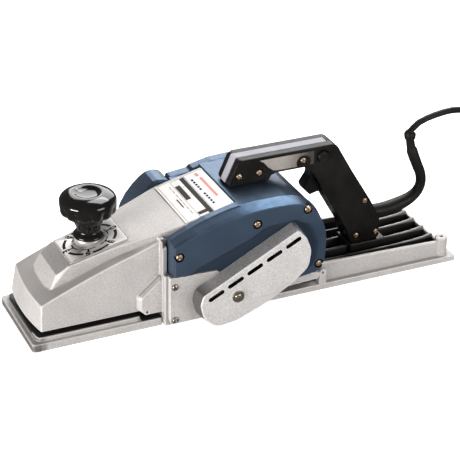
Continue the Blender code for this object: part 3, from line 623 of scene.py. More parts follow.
def curve_through(points, steps):
    """A Catmull-Rom curve through points, with a number of steps between each two."""
    knots = [Vector(p) for p in points]
    knots = [2 * knots[0] - knots[1], *knots, 2 * knots[-1] - knots[-2]]
    out = []
    for a, b, c, d in zip(knots, knots[1:], knots[2:], knots[3:]):
        for i in range(steps):
            t = i / steps
            out.append(0.5 * (2 * b + (c - a) * t + (2 * a - 5 * b + 4 * c - d) * t * t
                              + (3 * b - a - 3 * c + d) * t ** 3))
    return [*out, knots[-2]]


def smooth_route(stops, step):
    """Evenly spaced points on a Catmull-Rom curve through the stops."""
    fine = curve_through(stops, 24)
    reach = [0.0]
    for a, b in zip(fine, fine[1:]):
        reach.append(reach[-1] + (b - a).length)
    count = max(2, round(reach[-1] / step))
    points = []
    k = 0
    for i in range(count + 1):
        want = reach[-1] * i / count
        while k < len(fine) - 2 and reach[k + 1] < want:
            k += 1
        share = (want - reach[k]) / (reach[k + 1] - reach[k])
        points.append(fine[k].lerp(fine[k + 1], min(1.0, share)))
    return points


# ---------------------------------------------------------------- cord


CORD_RADIUS = 3.0
COIL_CENTRE = Vector((309.0, -6.0, 0.0))
COIL_RADII = ((39.0, 33.0, 27.0), (27.0, 33.0, 39.0), (39.0, 33.0, 27.0), (39.0,))
COIL_FLOOR = 3.1
COIL_RISE = 6.1
TURN_POINTS = 30
PLUG_PLACE = (262.0, -52.4, 14.5)
PLUG_RINGS = ((-14.0, 0.90), (-13.2, 0.96), (-11.5, 1.0), (0.0, 0.985), (9.0, 1.0), (11.5, 0.96), (13.6, 0.80),
              (14.0, 0.6))
CORD_STOPS = ((177.7, 0, 121.6), (180.8, 0, 124.7), (186.2, 0, 127.8), (194.4, 0, 130.4), (204, 0.4, 132.0),
              (215, 1.2, 132.8), (226, 2.6, 131.8), (237, 4.6, 128.0), (247, 7.6, 120.6), (255.5, 11.6, 109.8),
              (262.5, 16.2, 96), (268.5, 21.4, 80), (274.5, 27.2, 62.5), (281.5, 33.6, 45), (291, 39.6, 28.5),
              (303, 43.4, 15.4), (317, 44, 6.6), (332, 38.8, 3.4), (344.4, 28.4, 3.1), (352.1, 14, 3.1),
              (354.0, -0.6, 3.1))
CORD_END = ((346.8, -12.5, 21.4), (343.6, -24.5, 21.2), (338.2, -35.6, 20.8), (334.0, -41.5, 19.4),
            (326.0, -48.8, 16.8), (315.5, -52.0, 14.9), (302.4, -52.4, 14.5))


def tube(name, points, radii, material, resolution=6):
    curve = bpy.data.curves.new(name, "CURVE")
    curve.dimensions = "3D"
    curve.bevel_depth = MM
    curve.bevel_resolution = resolution
    curve.use_fill_caps = True
    spline = curve.splines.new("POLY")
    spline.points.add(len(points) - 1)
    for knot, point, radius in zip(spline.points, points, radii):
        knot.co = (*(Vector(point) * MM), 1.0)
        knot.radius = radius
    curve.materials.append(material)
    return bpy.data.objects.new(name, curve)


def along_cord():
    """The cord's centre line in millimetres: the free run, the coil's turns, then the plug's end."""
    free = smooth_route(CORD_STOPS, 9.0)
    turns = [(r, COIL_FLOOR + layer * COIL_RISE) for layer, radii in enumerate(COIL_RADII) for r in radii]
    offset = free[-1] - COIL_CENTRE
    first = math.degrees(math.atan2(offset.y, offset.x))
    coil = []
    for k in range(1, len(turns) * TURN_POINTS):
        number, share = divmod(k / TURN_POINTS, 1.0)
        number = min(int(number), len(turns) - 1)
        before = turns[number - 1][0] if number else offset.xy.length
        blend = ease(share / (1.0 if number == len(turns) - 1 else 0.3))
        radius = before + (turns[number][0] - before) * blend
        low = turns[number - 1][1] if number else COIL_FLOOR
        height = low + (turns[number][1] - low) * ease((share + 0.15) / 0.3)
        if share > 0.85 and number < len(turns) - 1:
            height += (turns[number + 1][1] - turns[number][1]) * ease((share - 0.85) / 0.3)
        angle = math.radians(first - 360.0 * k / TURN_POINTS)
        coil.append(COIL_CENTRE + Vector((radius * math.cos(angle), radius * math.sin(angle), height)))
    tail = smooth_route([coil[-1], *CORD_END], 7.0)
    return free + coil + tail[1:]


def ease(share):
    share = min(1.0, max(0.0, share))
    return share * share * (3 - 2 * share)


def cord_and_plug():
    path = along_cord()
    cord = tube("mains_cord", path, [CORD_RADIUS] * len(path), RUBBER)
    link(cord, "frame", "black_rubber", "cord", "cord_coil")
    x, y, z = PLUG_PLACE
    outline = rectangle((y - 13, y + 13), (0.4, z + 8), 6, 8)
    rings = [[at(p, "X", x + reach) for p in shrunk(outline, (y, z - 3), 1 - share)] for reach, share in PLUG_RINGS]
    body = solid("plug_body", skin(rings), RUBBER, 50)
    link(body, "frame", "black_rubber", "plug")
    profile = [(0, x + 12), (8.4, x + 13)]
    for k in range(6):
        left = x + 15 + 4 * k
        wide = 7.2 - 0.45 * k
        profile += [(wide, left), (wide, left + 2.6), (wide - 1.5, left + 2.9), (wide - 1.6, left + 3.7)]
    profile += [(4.2, x + 39.4), (3.4, x + 40), (0, x + 40)]
    sleeve = solid("plug_sleeve", turned(profile, "X", (y, z), 32), RUBBER)
    link(sleeve, "frame", "black_rubber", "plug")
    pins = []
    for side in (-6.3, 6.3):
        end = [(0, x - 32), (1.3, x - 31.8), (2.2, x - 30.6), (2.2, x - 12), (0, x - 12)]
        pins.append(turned(end, "X", (y + side, z - 3), 24))
    pins = solid("plug_pins", merge(*pins), STEEL)
    link(pins, "frame", "steel", "plug")
    tie = coil_tie()


def coil_tie():
    """The soft strap that holds the coil's turns together."""
    rings = []
    for y in (-4.0, 4.0):
        for grow in (0.0, 0.9):
            low, high = 22.4 - grow, 43.6 + grow
            section = rounded([(low, 0.9 - grow, 3), (high, 0.9 - grow, 3), (high, 24.6 + grow, 4),
                               (low, 24.6 + grow, 4)], 6)
            rings.append((y, section))
    order = [rings[0], rings[1], rings[3], rings[2]]
    shape = skin([[(r, y, z) for r, z in section] for y, section in order], loop=True)
    shape.transform(Matrix.Translation(COIL_CENTRE) @ Matrix.Rotation(math.radians(155), 4, "Z"))
    return link(solid("coil_tie", shape, RUBBER), "frame", "black_rubber", "cord_coil")


# ---------------------------------------------------------------- floor and light


FLOOR_REACH = (-40000.0, 40000.0)
SKY_STRENGTH = 0.12
LAMP_AIM = Vector((0.0, 0.0, 0.05))


def stage():
    """A plain pale floor, soft lamps and a faint, even sky."""
    n = Nodes("floor", 0.9)
    n.set("Base Color", (0.93, 0.93, 0.93, 1))
    n.set("Specular IOR Level", 0.1)
    n.set("Emission Color", (1.0, 1.0, 1.0, 1))
    n.set("Emission Strength", 0.75)
    floor = show(solid("floor", block(FLOOR_REACH, FLOOR_REACH, (-2, -0.2)), n.material))
    floor.visible_glossy = False
    world = bpy.data.worlds.new("studio")
    bpy.context.scene.world = world
    world.use_nodes = True
    sky = world.node_tree.nodes["Background"].inputs
    sky["Color"].default_value = (1, 1, 1, 1)
    sky["Strength"].default_value = SKY_STRENGTH
    for name, place, size, power in LAMPS:
        data = bpy.data.lights.new(name, "AREA")
        data.shape = "RECTANGLE"
        data.size, data.size_y = size
        data.energy = power
        lamp = show(bpy.data.objects.new(name, data))
        lamp.location = place
        lamp.rotation_euler = (LAMP_AIM - Vector(place)).to_track_quat("-Z", "Y").to_euler()
    bpy.context.scene.view_settings.view_transform = "Standard"


LAMPS = (
    ("left softbox", (-1.9, -0.57, 0.17), (1.0, 0.5), 52.0),
    ("near softbox", (0.95, -1.7, 0.5), (1.0, 0.8), 15.0),
    ("back softbox", (0.80, 1.5, 1.12), (1.8, 1.5), 36.0),
    ("top softbox", (0.75, 0.72, 1.7), (1.0, 0.9), 22.0),
)


# ---------------------------------------------------------------- castings and covers


def castings():
    link(cast("front_shoe", SHOE_METAL, 0.6, 6), "front_shoe", "cast_aluminium", "front_shoe")
    frame_casting()
    link(cast("rear_base", BASE_METAL, 0.65, 5, keep=0.35), "frame", "cast_aluminium", "rear_base")
    link(cast("side_plate", ALUMINIUM, 0.5, 5), "frame", "cast_aluminium", "side_plate")
    link(cast("motor_housing", BLUE, 0.6, 5, keep=0.4), "frame", "blue_paint", "motor_housing")
    link(cast("far_side_cover", BLUE, 0.6, 5, keep=0.4), "frame", "blue_paint", "far_side_cover")
    link(cast("chip_chute", BLUE, 0.5, 6, keep=0.5), "frame", "blue_paint", "chip_chute")
    near_cover()


NOSE_LEVELS = ((15.2, (-197.6, -202.2, -199.0), 39.4), (40.0, (-196.5, -198.0, -194.6), 38.8),
               (90.0, (-196.0, -196.5, -192.5), 38.6))
SHOULDER = ((-215, 32.5), (-199, 39.0), (-185, 45.2), (-170, 51.5), (-155, 57.4), (-140, 62.8), (-125, 67.8),
            (-110, 72.4), (-98, 76.4), (-85.7, 80.9), (-80, 82.8))
RIDGE = ((-177.2, -23.2, 19.6, 58.2), (-167.2, -26.6, 20.4, 66.4), (-128.0, -27.7, 22.5, 75.8),
         (-106.0, -31.0, 27.0, 81.1), (-62.0, -38.5, 38.5, 91.7))
LUG = ((-104, 12.4, 1), (-88, 12.4, 0), (-88, 47.5, 0), (-90.5, 47.5, 2), (-109.8, 31, 4), (-110, 18.5, 4))


def bowed(near, middle, far, half, steps=12):
    """The nose's plan: its bowed front from the near to the far corner, then its back corners."""
    points = []
    for i in range(steps + 1):
        t = i / steps
        x = (1 - t) * (1 - 2 * t) * near + 4 * t * (1 - t) * middle + t * (2 * t - 1) * far
        points.append((x, -half + 2 * half * t))
    return points + [(-87.5, half), (-87.5, -half)]


def hull(points):
    shape = bmesh.new()
    for point in points:
        shape.verts.new(point)
    bmesh.ops.convex_hull(shape, input=shape.verts)
    return shape


def frame_casting():
    """The front casting, with its bowed nose, its ridge and its guide lug."""
    nose = skin([[(x, y, z) for x, y in bowed(*fronts, half)] for z, fronts, half in NOSE_LEVELS])
    nose = boolean(solid("nose", nose, None), [prism([*SHOULDER, (-80, 130), (-215, 130)], "Y", -60, 60)])
    sections = [[(x, near, top), (x, far, top), (x, near - 0.4, 36), (x, far + 0.4, 36)]
                for x, near, far, top in RIDGE]
    front = [(-185.2, -25.4, 42.5), (-187.6, -12, 42), (-187.4, 8, 42), (-184.6, 23.5, 42.5), (-184.4, -25.6, 36),
             (-184, 24, 36)]
    ridges = [hull(front + sections[0][:2] + sections[1])]
    ridges += [hull(one + other) for one, other in zip(sections[1:], sections[2:])]
    outline = rounded(LUG, 5)
    lug = skin([[at(p, "Y", y) for p in shrunk(outline, (-96, 26), share)]
                for y, share in ((-36, 0), (-43, 0), (-45, 0.12))])
    boolean(nose, [*ridges, lug], "UNION")
    inside = prism([(-192, 8), (-192, 35), (-92.5, 73), (-92.5, 8)], "Y", -35, 35)
    way = turned([(0, 30), (10, 30), (10, 57), (4.6, 57), (4.6, 90), (0, 90)], "Z", (KNOB_X, 0), 32)
    hole = rod("Y", (-102.6, 16), 1.3, -50, -42, 16)
    boolean(nose, [inside, way, hole])
    rear = block((-215, -88.45), (-60, 60), (-5, 120))
    rib_top = prism([(-88.3, 75.6), (-84.0, 77.2), (-84.0, 90), (-88.3, 90)], "Y", -60, -38.9)
    chamber = rod("Y", DRUM_AXIS, CHAMBER_RADIUS, -42.1, 42.1, 64)
    made = cast("main_frame", FRAME_METAL, 0.65, 5, cut=[rear, rib_top], add_objects=[nose], late_cut=[chamber],
                keep=0.35)
    link(made, "frame", "cast_aluminium", "main_frame")


COVER_EDGE = ((60.8, 30.5), (63.6, 41.0), (64.4, 55.0), (63.6, 68.0), (59.6, 82.5), (51.6, 94.0), (42.0, 101.2),
              (29.0, 105.0), (8.0, 106.0), (-8.0, 105.4), (-25.0, 103.6), (-48.3, 97.6), (-66.0, 91.0),
              (-83.0, 83.4))
COVER_FACE = ((59.0, 31.4), (61.8, 41.4), (62.6, 55.0), (61.8, 67.6), (57.6, 80.5), (49.6, 91.6), (40.0, 98.6),
              (27.4, 101.6), (6.0, 102.2), (-9.0, 101.2), (-26.0, 98.2), (-48.0, 93.2), (-65.0, 88.4),
              (-81.6, 81.0))


def near_cover():
    """The near blue cover: a chamfered shell with a hollow round the belt cover and four counterbores."""
    foot = [(-83, 52), (-42, 50.3), (10, 21.2), (27.4, 24.8), (50.8, 28.0)]
    face = [(-82, 52.4), (-42, 50.3), (10, 21.6), (27.4, 25.2), (50.8, 28.4)]
    rings = [[at(p, "Y", y) for p in low + curve_through(high, 6)]
             for y, low, high in ((-45.3, foot, COVER_EDGE), (-58.0, face, COVER_FACE))]
    cover = solid("near_cover_shell", skin(rings), COVER_BLUE)
    inner = [(-83, 52), (-17.4, 52), (-17.4, 104.8), (-25, 103.6), (-48.3, 97.6), (-66, 91), (-83, 83.4)]
    boolean(cover, [prism(inner, "Y", -47, -39.3)], "UNION")
    cuts = [cover_recess(), prism(belt_outline(-0.07), "Y", -60, -55), block((-89, -12), (-50.3, -30), (20, 51.4)),
            block((-89, -83.9), (-46, -30), (40, 90)), rod("Y", (20, 60), 13.3, -53.5, -40, 48),
            rod("Y", (20, 60), 6.5, -60, -50, 32)]
    for x, z in COVER_SCREWS:
        cuts += [rod("Y", (x, z), 4.3, -64, -54.8, 32), rod("Y", (x, z), 2.1, -60, -49, 24)]
    for shape in cuts:
        boolean(cover, [shape])
    remesh_soft(cover, 0.5, 4, 0.5)
    link(cover, "frame", "blue_paint", "near_side_cover")


def cover_recess():
    """The hollow in the near cover that slopes down towards the belt cover's foot."""
    rim = rounded([(-67, 56, 3), (-40, 65.5, 60), (-12, 76, 40), (4, 85.5, 16), (30, 86.5, 18), (46, 80.5, 14),
                   (55.5, 60, 14), (54, 41, 10), (45, 32, 8), (20, 22, 8), (-10, 12, 8), (-60, 30, 8)], 6)
    levels = ((0.0, -58.8), (0.01, -57.9), (0.045, -56.6), (0.11, -55.2), (0.14, -55.0))
    return skin([[at(p, "Y", y) for p in shrunk(rim, (-5.0, 47.0), share)] for share, y in levels])


# ---------------------------------------------------------------- belt cover


def belt_outline(share):
    """The belt cover's outline, drawn in by a share; a share below 0 makes it larger."""
    corners = [(-62.5, 36.0, 4), (-65.5, 27.0, 9), (-62.0, 12.0, 14), (-50.0, 1.2, 14), (-30.0, 3.6, 24),
               (2.0, 16.5, 0), (27.0, 31.5, 20), (41.5, 44.0, 12), (43.6, 61.0, 14), (38.5, 74.0, 8), (30.0, 84.0, 4)]
    return shrunk(rounded(corners, 6), (-10.0, 43.0), share)


def slot_outline(middle, along, half, wide):
    """A slot with round ends."""
    turn = math.degrees(math.atan2(along.y, along.x))
    one = arc(middle + along * half, wide, turn - 90, turn + 90, 8)
    return one + arc(middle - along * half, wide, turn + 90, turn + 270, 8)


def belt_cover():
    levels = ((-55.3, 0.0), (-69.6, 0.03), (-70.6, 0.036), (-71.0, 0.048))
    shell = solid("belt_cover_shell", skin([[at(p, "Y", y) for p in belt_outline(s)] for y, s in levels]),
                  COVER_METAL)
    along = Vector((72.4, 36.9)).normalized()
    slots = [prism(slot_outline(Vector((-48.9, 34.5)) + along * (20.35 * k), along, 6.1, 2.1), "Y", -75, -67)
             for k in range(5)]
    boolean(shell, [prism(belt_outline(0.085), "Y", -69.2, -50)])
    boolean(shell, [rod("Y", BELT_SCREW, 6.6, -71.5, -69.5, 40), rod("Y", BELT_SCREW, 3.4, -71, -55.3)], "UNION")
    boolean(shell, [rod("Y", BELT_SCREW, 1.8, -80, -50, 24)])
    remesh_soft(shell, 0.45, 4, 0.5)
    # The slots' cut walls are lined with black ink: painted shade inside the slots.
    boolean(shell, [merge(*slots)], lining=INK)
    cast_shading(shell)
    link(shell, "frame", "cast_aluminium", "belt_cover")


# ---------------------------------------------------------------- screws


def screw_head(node, centre, radius, height, material, slot, shank, length, turn):
    """A pan-head screw along +Y with a cross recess; centre is the middle of its head's outer face."""
    x, y, z = centre
    r = radius
    profile = [(0, y + length), (shank, y + length - 0.6), (shank, y + height), (r, y + height),
               (r, y + height * 0.55), (r * 0.93, y + height * 0.3), (r * 0.75, y + height * 0.1), (r * 0.45, y),
               (0, y)]
    head = solid(f"{node}_head", turned(profile, "Y", (x, z), 40), material, 50)
    boolean(head, [bar((x, z), pointing(turn + extra), -0.58 * r, 0.58 * r, 0.13 * r, "Y", y - 1, y + height * 0.7)
                   for extra in (0, 90)])
    link(head, "frame", slot, node)


def screws():
    for number, (x, z) in enumerate(COVER_SCREWS, 1):
        screw_head(f"cover_screw_{number}", (x, -58.4, z), 3.0, 2.0, COPPER, "copper_zinc", 1.7, 9.0,
                   20 + 31 * number)
    for number, z in enumerate((41.3, 8.4), 1):
        screw_head(f"plate_screw_{number}", (-80.6, -56.2, z), 2.9, 1.8, ZINC, "steel", 1.5, 4.6, 35 * number)
    for number, (x, z) in enumerate(HANDLE_SCREWS, 1):
        screw_head(f"handle_screw_{number}", (x, -12.2, z), 2.75, 1.7, COPPER, "copper_zinc", 1.5, 19.6,
                   27 * number)
    x, z = BELT_SCREW
    screw_head("belt_cover_screw", (x, -74.0, z), 3.5, 2.6, ZINC, "steel", 1.5, 18.0, 40)
    washer = [(2.0, -72.9), (5.2, -72.9), (5.6, -72.6), (5.6, -71.8), (5.2, -71.5), (2.0, -71.5)]
    link(solid("belt_cover_washer", ring_of(washer, "Y", BELT_SCREW), ZINC), "frame", "steel", "belt_cover_screw")


# ---------------------------------------------------------------- knob


FLUTES = 12


def knob():
    """The black mushroom knob, with scallops round its cap's lower rim and a small dish in its top."""
    foot = KNOB_FOOT
    side = [(12.6, 0.0), (13.6, 0.5), (13.8, 1.8), (12.8, 3.2), (10.9, 4.8), (10.3, 6.4), (10.7, 8.8), (11.7, 11.6),
            (12.9, 14.4), (14.0, 17.0), (14.8, 19.0), (16.2, 20.6), (18.6, 21.2), (21.6, 22.2), (23.6, 24.0),
            (24.6, 26.6), (24.9, 30.0), (24.9, 33.6), (24.4, 36.0), (22.9, 38.2), (20.2, 39.9), (17.0, 41.1),
            (14.4, 41.7), (12.6, 41.7), (11.2, 41.2), (9.4, 40.2), (7.0, 39.5), (4.0, 39.2), (0.5, 39.1)]
    profile = [(0, foot), *((r, foot + h) for r, h in curve_through(side, 4)), (0, foot + 39.1)]
    shape = turned(profile, "Z", (KNOB_X, 0), 144)
    axis = Vector((KNOB_X, 0))
    for v in shape.verts:
        reach = v.co.xy - axis
        share = ease((v.co.z - foot - 20.2) / 2.5) * ease((foot + 35.5 - v.co.z) / 9)
        if reach.length > 16.5:
            wave = 0.5 - 0.5 * math.cos(FLUTES * math.atan2(reach.y, reach.x))
            v.co.xy = axis + reach * (1 - 2.0 * share * wave ** 2 / reach.length)
    link(solid("knob_grip", shape, GLOSS, 70), "depth_knob", "black_plastic", "knob")


# ---------------------------------------------------------------- handle


def handle_outline():
    return rounded([(-13.4, 103.8, 2.4), (27.5, 103.8, 0), (31, 110.2, 2), (64, 110, 3), (71.5, 102, 4),
                    (82.6, 81.2, 0), (107.4, 38.4, 8), (113.2, 21.3, 2.4), (142.8, 21.3, 2.4), (142.4, 43.0, 4),
                    (131.8, 62.8, 0), (110.1, 98.2, 0), (93.0, 127.9, 9), (-2.5, 128.1, 3.5)], 6)


def round_side(shape, level, width):
    """Rounds the rim of a prism's face that lies at one y."""
    rim = [e for e in shape.edges if all(abs(v.co.y - level) < 0.001 for v in e.verts)]
    bmesh.ops.bevel(shape, geom=rim, offset=width, segments=4, profile=0.5, affect="EDGES", clamp_overlap=False)
    return shape


def panel_outline(grow=0.0):
    """The satin panel on the handle's side, with a bay round the screw's boss."""
    top, low, left, right = 125.0 + grow, 112.0 - grow, -grow, 71.5 + grow
    return ([(17.0 + left, top), (21.5 + left, 122.0), (25.5 + left, 117.0), (30.5 + left, 113.0),
             (33.5 + left, low)] + arc((60.9, 115.2), 6.8 - grow, 208, -28, 14)
            + [(right, low), (right, top)])


def handle_half(side):
    name = "near" if side < 0 else "far"
    low, high = sorted((side * 0.15, side * 12.0))
    shape = round_side(prism(handle_outline(), "Y", low, high), side * 12.0, 2.2)
    half = solid(f"handle_shell_{name}", shape, HANDLE)
    room = [(90, 85.4), (111, 85.4), (111, 93), (106.2, 98.4), (98, 110.6), (90, 110.6)]
    groove = [(-14.5, 105.6), (-4.5, 130), (87.4, 130), (87.4, 126.7), (-1.9, 126.8), (-11.6, 105.3)]
    cuts = [prism(room, "Y", -9.3, 9.3), block((50, 90.4), (-6.4, 6.4), (74, 107.2)),
            rod("X", (0, 43.6), 7.5, 135, 160, 32), prism(groove, "Y", -4.7, 4.7)]
    cuts.append(prism(panel_outline(), "Y", *sorted((side * 11.4, side * 14.0))))
    for x, z in HANDLE_SCREWS:
        cuts.append(rod("Y", (x, z), 2.2, -11, 8, 24))
        if side < 0:
            cuts.append(rod("Y", (x, z), 3.5, -20, -9.8, 32))
    if side < 0:
        cuts.append(rod("Y", BUTTON_AXIS, 5.8, -14, -4.5, 40))
    for tool in cuts:
        boolean(half, [tool])
    remesh_soft(half, 0.38, 5, 0.4)
    link(half, "frame", "black_plastic", f"handle_half_{name}")
    inlay = prism(panel_outline(-0.25), "Y", *sorted((side * 11.2, side * 11.85)))
    panel = solid(f"handle_panel_{name}", inlay, PANEL)
    link(panel, "frame", "black_plastic", f"handle_half_{name}")


def handle():
    handle_half(-1)
    handle_half(1)
    outline = [(-12.9, 106.0), (-3.1, 128.3), (87, 128.15), (87, 126.9), (-2.0, 127.0), (-11.6, 105.6)]
    trim = show(solid("handle_trim_strip", prism(outline, "Y", -4.5, 4.5), TRIM))
    link(apply_all(bevelled(trim, 0.25)), "frame", "printed_plate", "handle_trim")
    button = [(0, -8), (5.2, -8), (5.2, -13.6), (5.0, -14.3), (4.4, -14.8), (3.4, -15), (2.6, -14.7), (0, -14.5)]
    link(solid("lock_button_cap", turned(button, "Y", BUTTON_AXIS, 48), HANDLE), "lock_button", "black_plastic",
         "lock_button")


def trigger():
    outline = rounded([(70.4, 106.6, 1.5), (71.8, 97.5, 9), (64.9, 87.4, 1.6), (66.4, 83.2, 2), (71.6, 77.6, 2),
                       (79.3, 79.4, 3), (84.4, 78.4, 1), (84.4, 106.6, 1)], 6)
    lever = show(solid("trigger_lever", prism(outline, "Y", -6, 6), HANDLE))
    link(apply_all(bevelled(lever, 1.2, 4, 30)), "trigger", "black_plastic", "trigger")


def guard():
    """The cord's rubber sleeve, whose width changes in steps along its route."""
    stops = ((135.5, 0, 43.8), (151, 0, 43.4), (161, 0, 44.4), (170, 0, 46.4), (177, 0, 48.6), (183, 0, 51.6),
             (188, 0, 56), (190.8, 0, 61.4), (191.4, 0, 67.4), (190.2, 0, 74.2), (186, 0, 84), (181.8, 0, 93.6),
             (178.4, 0, 103.2), (176.6, 0, 111), (176, 0, 118.6), (176.5, 0, 120.1), (177.7, 0, 121.6))
    path = smooth_route(stops, 1.5)
    total = len(path) - 1
    widths = ((0.0, 6.9), (0.22, 6.9), (0.3, 6.4), (0.42, 5.2), (0.5, 4.8), (0.7, 5.0), (0.80, 5.2), (0.825, 5.2),
              (0.835, 4.2), (0.915, 4.0), (0.93, 5.3), (0.965, 5.5), (0.975, 4.6), (0.98, 2.9), (1.0, 2.9))
    radii = []
    for i in range(total + 1):
        share = i / total
        for (a, ra), (b, rb) in zip(widths, widths[1:]):
            if a <= share <= b:
                radii.append(ra + (rb - ra) * (share - a) / (b - a))
                break
    link(tube("cord_guard_sleeve", path, radii, RUBBER, 8), "frame", "black_rubber", "cord_guard")


# ---------------------------------------------------------------- plates


PLATE_LIFT = 0.3
INK_LIFT = 1.1
TOP_INK_LIFT = 1.22
PATCH_HEIGHT = 0.06
DIAL_STRETCH = 1.13


def on_slope(shape, lift):
    """Moves a flat shape, drawn as x along the slope and y across, onto the nose's sloping top."""
    lean = math.atan(SLOPE)
    shape.transform(Matrix.Translation((0, 0, slope_z(0) + lift / math.cos(lean))) @ Matrix.Rotation(-lean, 4, "Y"))
    return shape


def sloped_x(x):
    """The distance along the slope of a point that is at x."""
    return x * math.sqrt(1 + SLOPE * SLOPE)


def sheet(x, y, radius, height):
    """A flat rounded sheet between two x, measured level, and two y."""
    return prism(rectangle([sloped_x(end) for end in x], y, radius, 5), "Z", 0.0, height)


def plate(name, x, y):
    return solid(name, on_slope(sheet(x, y, 1.0, 0.8), PLATE_LIFT), PLATE)


DIGITS = {"0": "abcdef", "1": "bc", "2": "abged", "3": "abgcd", "5": "afgcd"}
SEGMENTS = {"a": (0.5, 1.0, 0), "b": (1.0, 0.75, 1), "c": (1.0, 0.25, 1), "d": (0.5, 0.0, 0), "e": (0.0, 0.25, 1),
            "f": (0.0, 0.75, 1), "g": (0.5, 0.5, 0)}


def digit(letter, centre, angle, size=4.2):
    """A dial's number, drawn with straight strokes and standing outwards from the dial's middle."""
    out = pointing(angle)
    side = Vector((out.y, -out.x))
    strokes = []
    for a, b, upright in (SEGMENTS[s] for s in DIGITS[letter]):
        middle = Vector(centre) + out * (20.8 + (b - 0.5) * size) + side * ((a - 0.5) * size * 0.62)
        half = size * (0.27 if upright else 0.33)
        strokes.append(bar(middle, out if upright else side, -half, half, 0.6))
    return merge(*strokes)


def patch(x, y):
    """A printed rectangle on the plate, between two x and two y."""
    return sheet(x, y, 0.2, PATCH_HEIGHT)


def printed(name, shapes, lift, look, node):
    link(solid(name, on_slope(merge(*shapes), lift), look), "frame", "printed_plate", node)


def plates():
    dial = plate("dial_plate_sheet", (-164.9, -111.2), (-25.0, 18.6))
    boolean(dial, [rod("Z", (KNOB_X, 0), 6.5, 60, 90)])
    link(dial, "frame", "printed_plate", "dial_plate")
    centre = (sloped_x(KNOB_X), -2.2)
    inks = []
    for k, letter in enumerate("012353"):
        turn = 60 * k + 8
        inks += [band(centre, 19.4, 21.8, turn + 11, turn + 49), digit(letter, centre, turn),
                 bar(centre, pointing(turn), 14.8, 18.2, 0.75), band(centre, 14.0, 15.0, turn - 20, turn + 22)]
    middle = Matrix.Translation((centre[0], 0, 0))
    for shape in inks:
        shape.transform(middle @ Matrix.Diagonal((DIAL_STRETCH, 1, 1, 1)) @ middle.inverted())
    border = frame_line((-164.6, -111.5), (-24.7, 18.3), 0.3, 0.8)
    printed("dial_print", [border, *inks], INK_LIFT, INK, "dial_plate")

    link(plate("name_plate_sheet", (-63.4, -18.2), (-38.6, 34.5)), "frame", "printed_plate", "name_plate")
    printed("name_plate_white", [sheet((-36.8, -18.5), (-38.3, 33.4), 0.6, 0.12),
                                 patch((-44.4, -41.8), (18.5, 31)), patch((-44.4, -41.8), (-19, -2)),
                                 patch((-48.6, -45.2), (-26, -8)), patch((-44.4, -41.8), (2, 15))], INK_LIFT, WHITE,
            "name_plate")
    stripe = [sheet((-26.6, -24.2), (-17.5, 20.5), 0.8, PATCH_HEIGHT),
              sheet((-27.6, -25.0), (24, 30), 1.0, PATCH_HEIGHT)]
    printed("name_plate_stripe", stripe, TOP_INK_LIFT, INK_RED, "name_plate")
    words = [patch((-33.9 + 0.07 * k, -32.0 + 0.07 * k), (19.5 - 4.6 * k, 22.6 - 4.6 * k))
             for k in range(11) if k != 5]
    words.append(frame_line((-36.8, -18.5), (-38.3, 33.4), 0.25, 0.6))
    printed("name_plate_bars", words, TOP_INK_LIFT, INK, "name_plate")
    rows = [patch((-41.4, -37.6), (-37, 31.5)), patch((-49.4, -44.9), (-5, 22)), patch((-49.4, -41.2), (-34, -29)),
            patch((-56.4, -55.2), (-14, 2)), frame_line((-61.8, -37.4), (-38.0, 33.6), 0.3, 0.5),
            frame_line((-50.2, -37.6), (-37.4, 31.8), 0.25, 0.5)]
    rows += [patch((-53.4, -52.9), (20 - 8 * k, 26 - 8 * k)) for k in range(7)]
    printed("name_plate_rows", rows, INK_LIFT, INK_GREY, "name_plate")
    pins = [turned([(0, 0), (0.8, 0), (0.8, 0.25), (0, 0.4)], "Z", (sloped_x(x), y), 16)
            for x in (-61.6, -20.2) for y in (-36.6, 32.4)]
    printed("name_plate_rivets", pins, INK_LIFT, ZINC, "name_plate")


def frame_line(x, y, wide, radius):
    """A thin rectangular line round an area."""
    rings = []
    for grow, height in ((0.0, 0.0), (-wide, 0.0), (-wide, INK_HEIGHT), (0.0, INK_HEIGHT)):
        along = (sloped_x(x[0]) - grow, sloped_x(x[1]) + grow)
        outline = rectangle(along, (y[0] - grow, y[1] + grow), max(0.1, radius + grow), 4)
        rings.append([(*point, height) for point in outline])
    return skin(rings, loop=True)


def band(centre, inner, outer, start, end, steps=8):
    """A printed arc between two radii and two angles."""
    outline = arc(centre, outer, start, end, steps) + arc(centre, inner, end, start, steps)
    return prism(outline, "Z", 0.0, INK_HEIGHT)


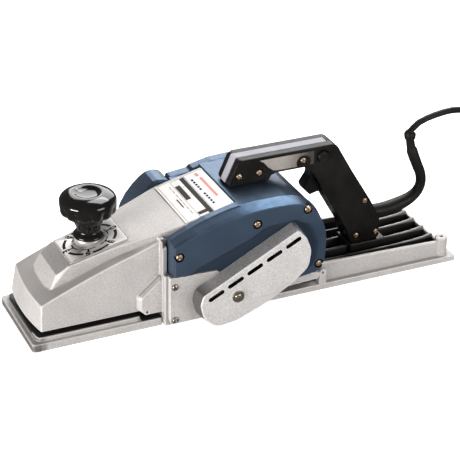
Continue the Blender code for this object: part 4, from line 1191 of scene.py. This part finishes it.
def collar():
    """The bright ring under the knob."""
    foot = KNOB_FOOT
    profile = [(6.4, foot - 7.0), (12.9, foot - 7.0), (13.1, foot - 1.8), (12.6, foot - 0.6), (11.6, foot - 0.4),
               (6.4, foot - 0.4)]
    ring = solid("knob_collar_ring", ring_of(profile, "Z", (KNOB_X, 0), 64), RING)
    under = prism([(-160, slope_z(-160) + 1.3), (-118, slope_z(-118) + 1.3), (-118, 50), (-160, 50)], "Y", -30, 30)
    boolean(ring, [under])
    link(ring, "frame", "steel", "knob_collar")


SPRING_FOOT = 44.8
SPRING_TOP = 55.8
SPRING_RADIUS = 7.5
SPRING_WIRE = 0.8
SPRING_TURNS = 4
SPRING_STEPS = 24


def depth_spring():
    """The spring round the knob's spindle, drawn at one length."""
    length = SPRING_TOP - SPRING_FOOT
    rise = length - 2 * SPRING_WIRE
    count = SPRING_TURNS * SPRING_STEPS
    helix = arc((KNOB_X, 0), SPRING_RADIUS, 0, 360 * SPRING_TURNS, count)
    points = [(*point, SPRING_FOOT + SPRING_WIRE + rise * k / count) for k, point in enumerate(helix)]
    coil = show(tube("spring_line", points, [SPRING_WIRE] * len(points), STEEL, 2))
    graph = bpy.context.evaluated_depsgraph_get()
    mesh = bpy.data.meshes.new_from_object(coil.evaluated_get(graph))
    bpy.data.objects.remove(coil)
    spring = link(bpy.data.objects.new("depth_spring_coil", mesh), "frame", "steel", "depth_spring")
    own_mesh(spring)


# ---------------------------------------------------------------- pieces that keep the model's shape


KEPT = {
    "knob_spindle": STEEL, "drive_belt": RUBBER, "stator": STEEL, "switch_body": CARBON,
    "drum_bearing_near": STEEL, "drum_bearing_far": STEEL, "motor_bearing_near": STEEL, "motor_bearing_far": STEEL,
    "brush_holder_a": COPPER, "brush_holder_b": COPPER, "carbon_brush_a": CARBON, "carbon_brush_b": CARBON,
    "drum_body": ALUMINIUM, "blade_a": GROUND, "blade_b": GROUND, "blade_clamp_a": STEEL, "blade_clamp_b": STEEL,
    "drum_pulley": STEEL, "armature_shaft": STEEL, "armature_core": STEEL, "commutator": COPPER,
    "cooling_fan": HANDLE, "motor_pulley": STEEL,
}


def kept():
    for name, look in KEPT.items():
        slots = NODES[name].material_slots
        for place in slots:
            place.material = look
        if not slots:
            NODES[name].data.materials.append(look)


cord_and_plug()
stage()
castings()
belt_cover()
screws()
knob()
handle()
trigger()
guard()
plates()
collar()
depth_spring()
kept()
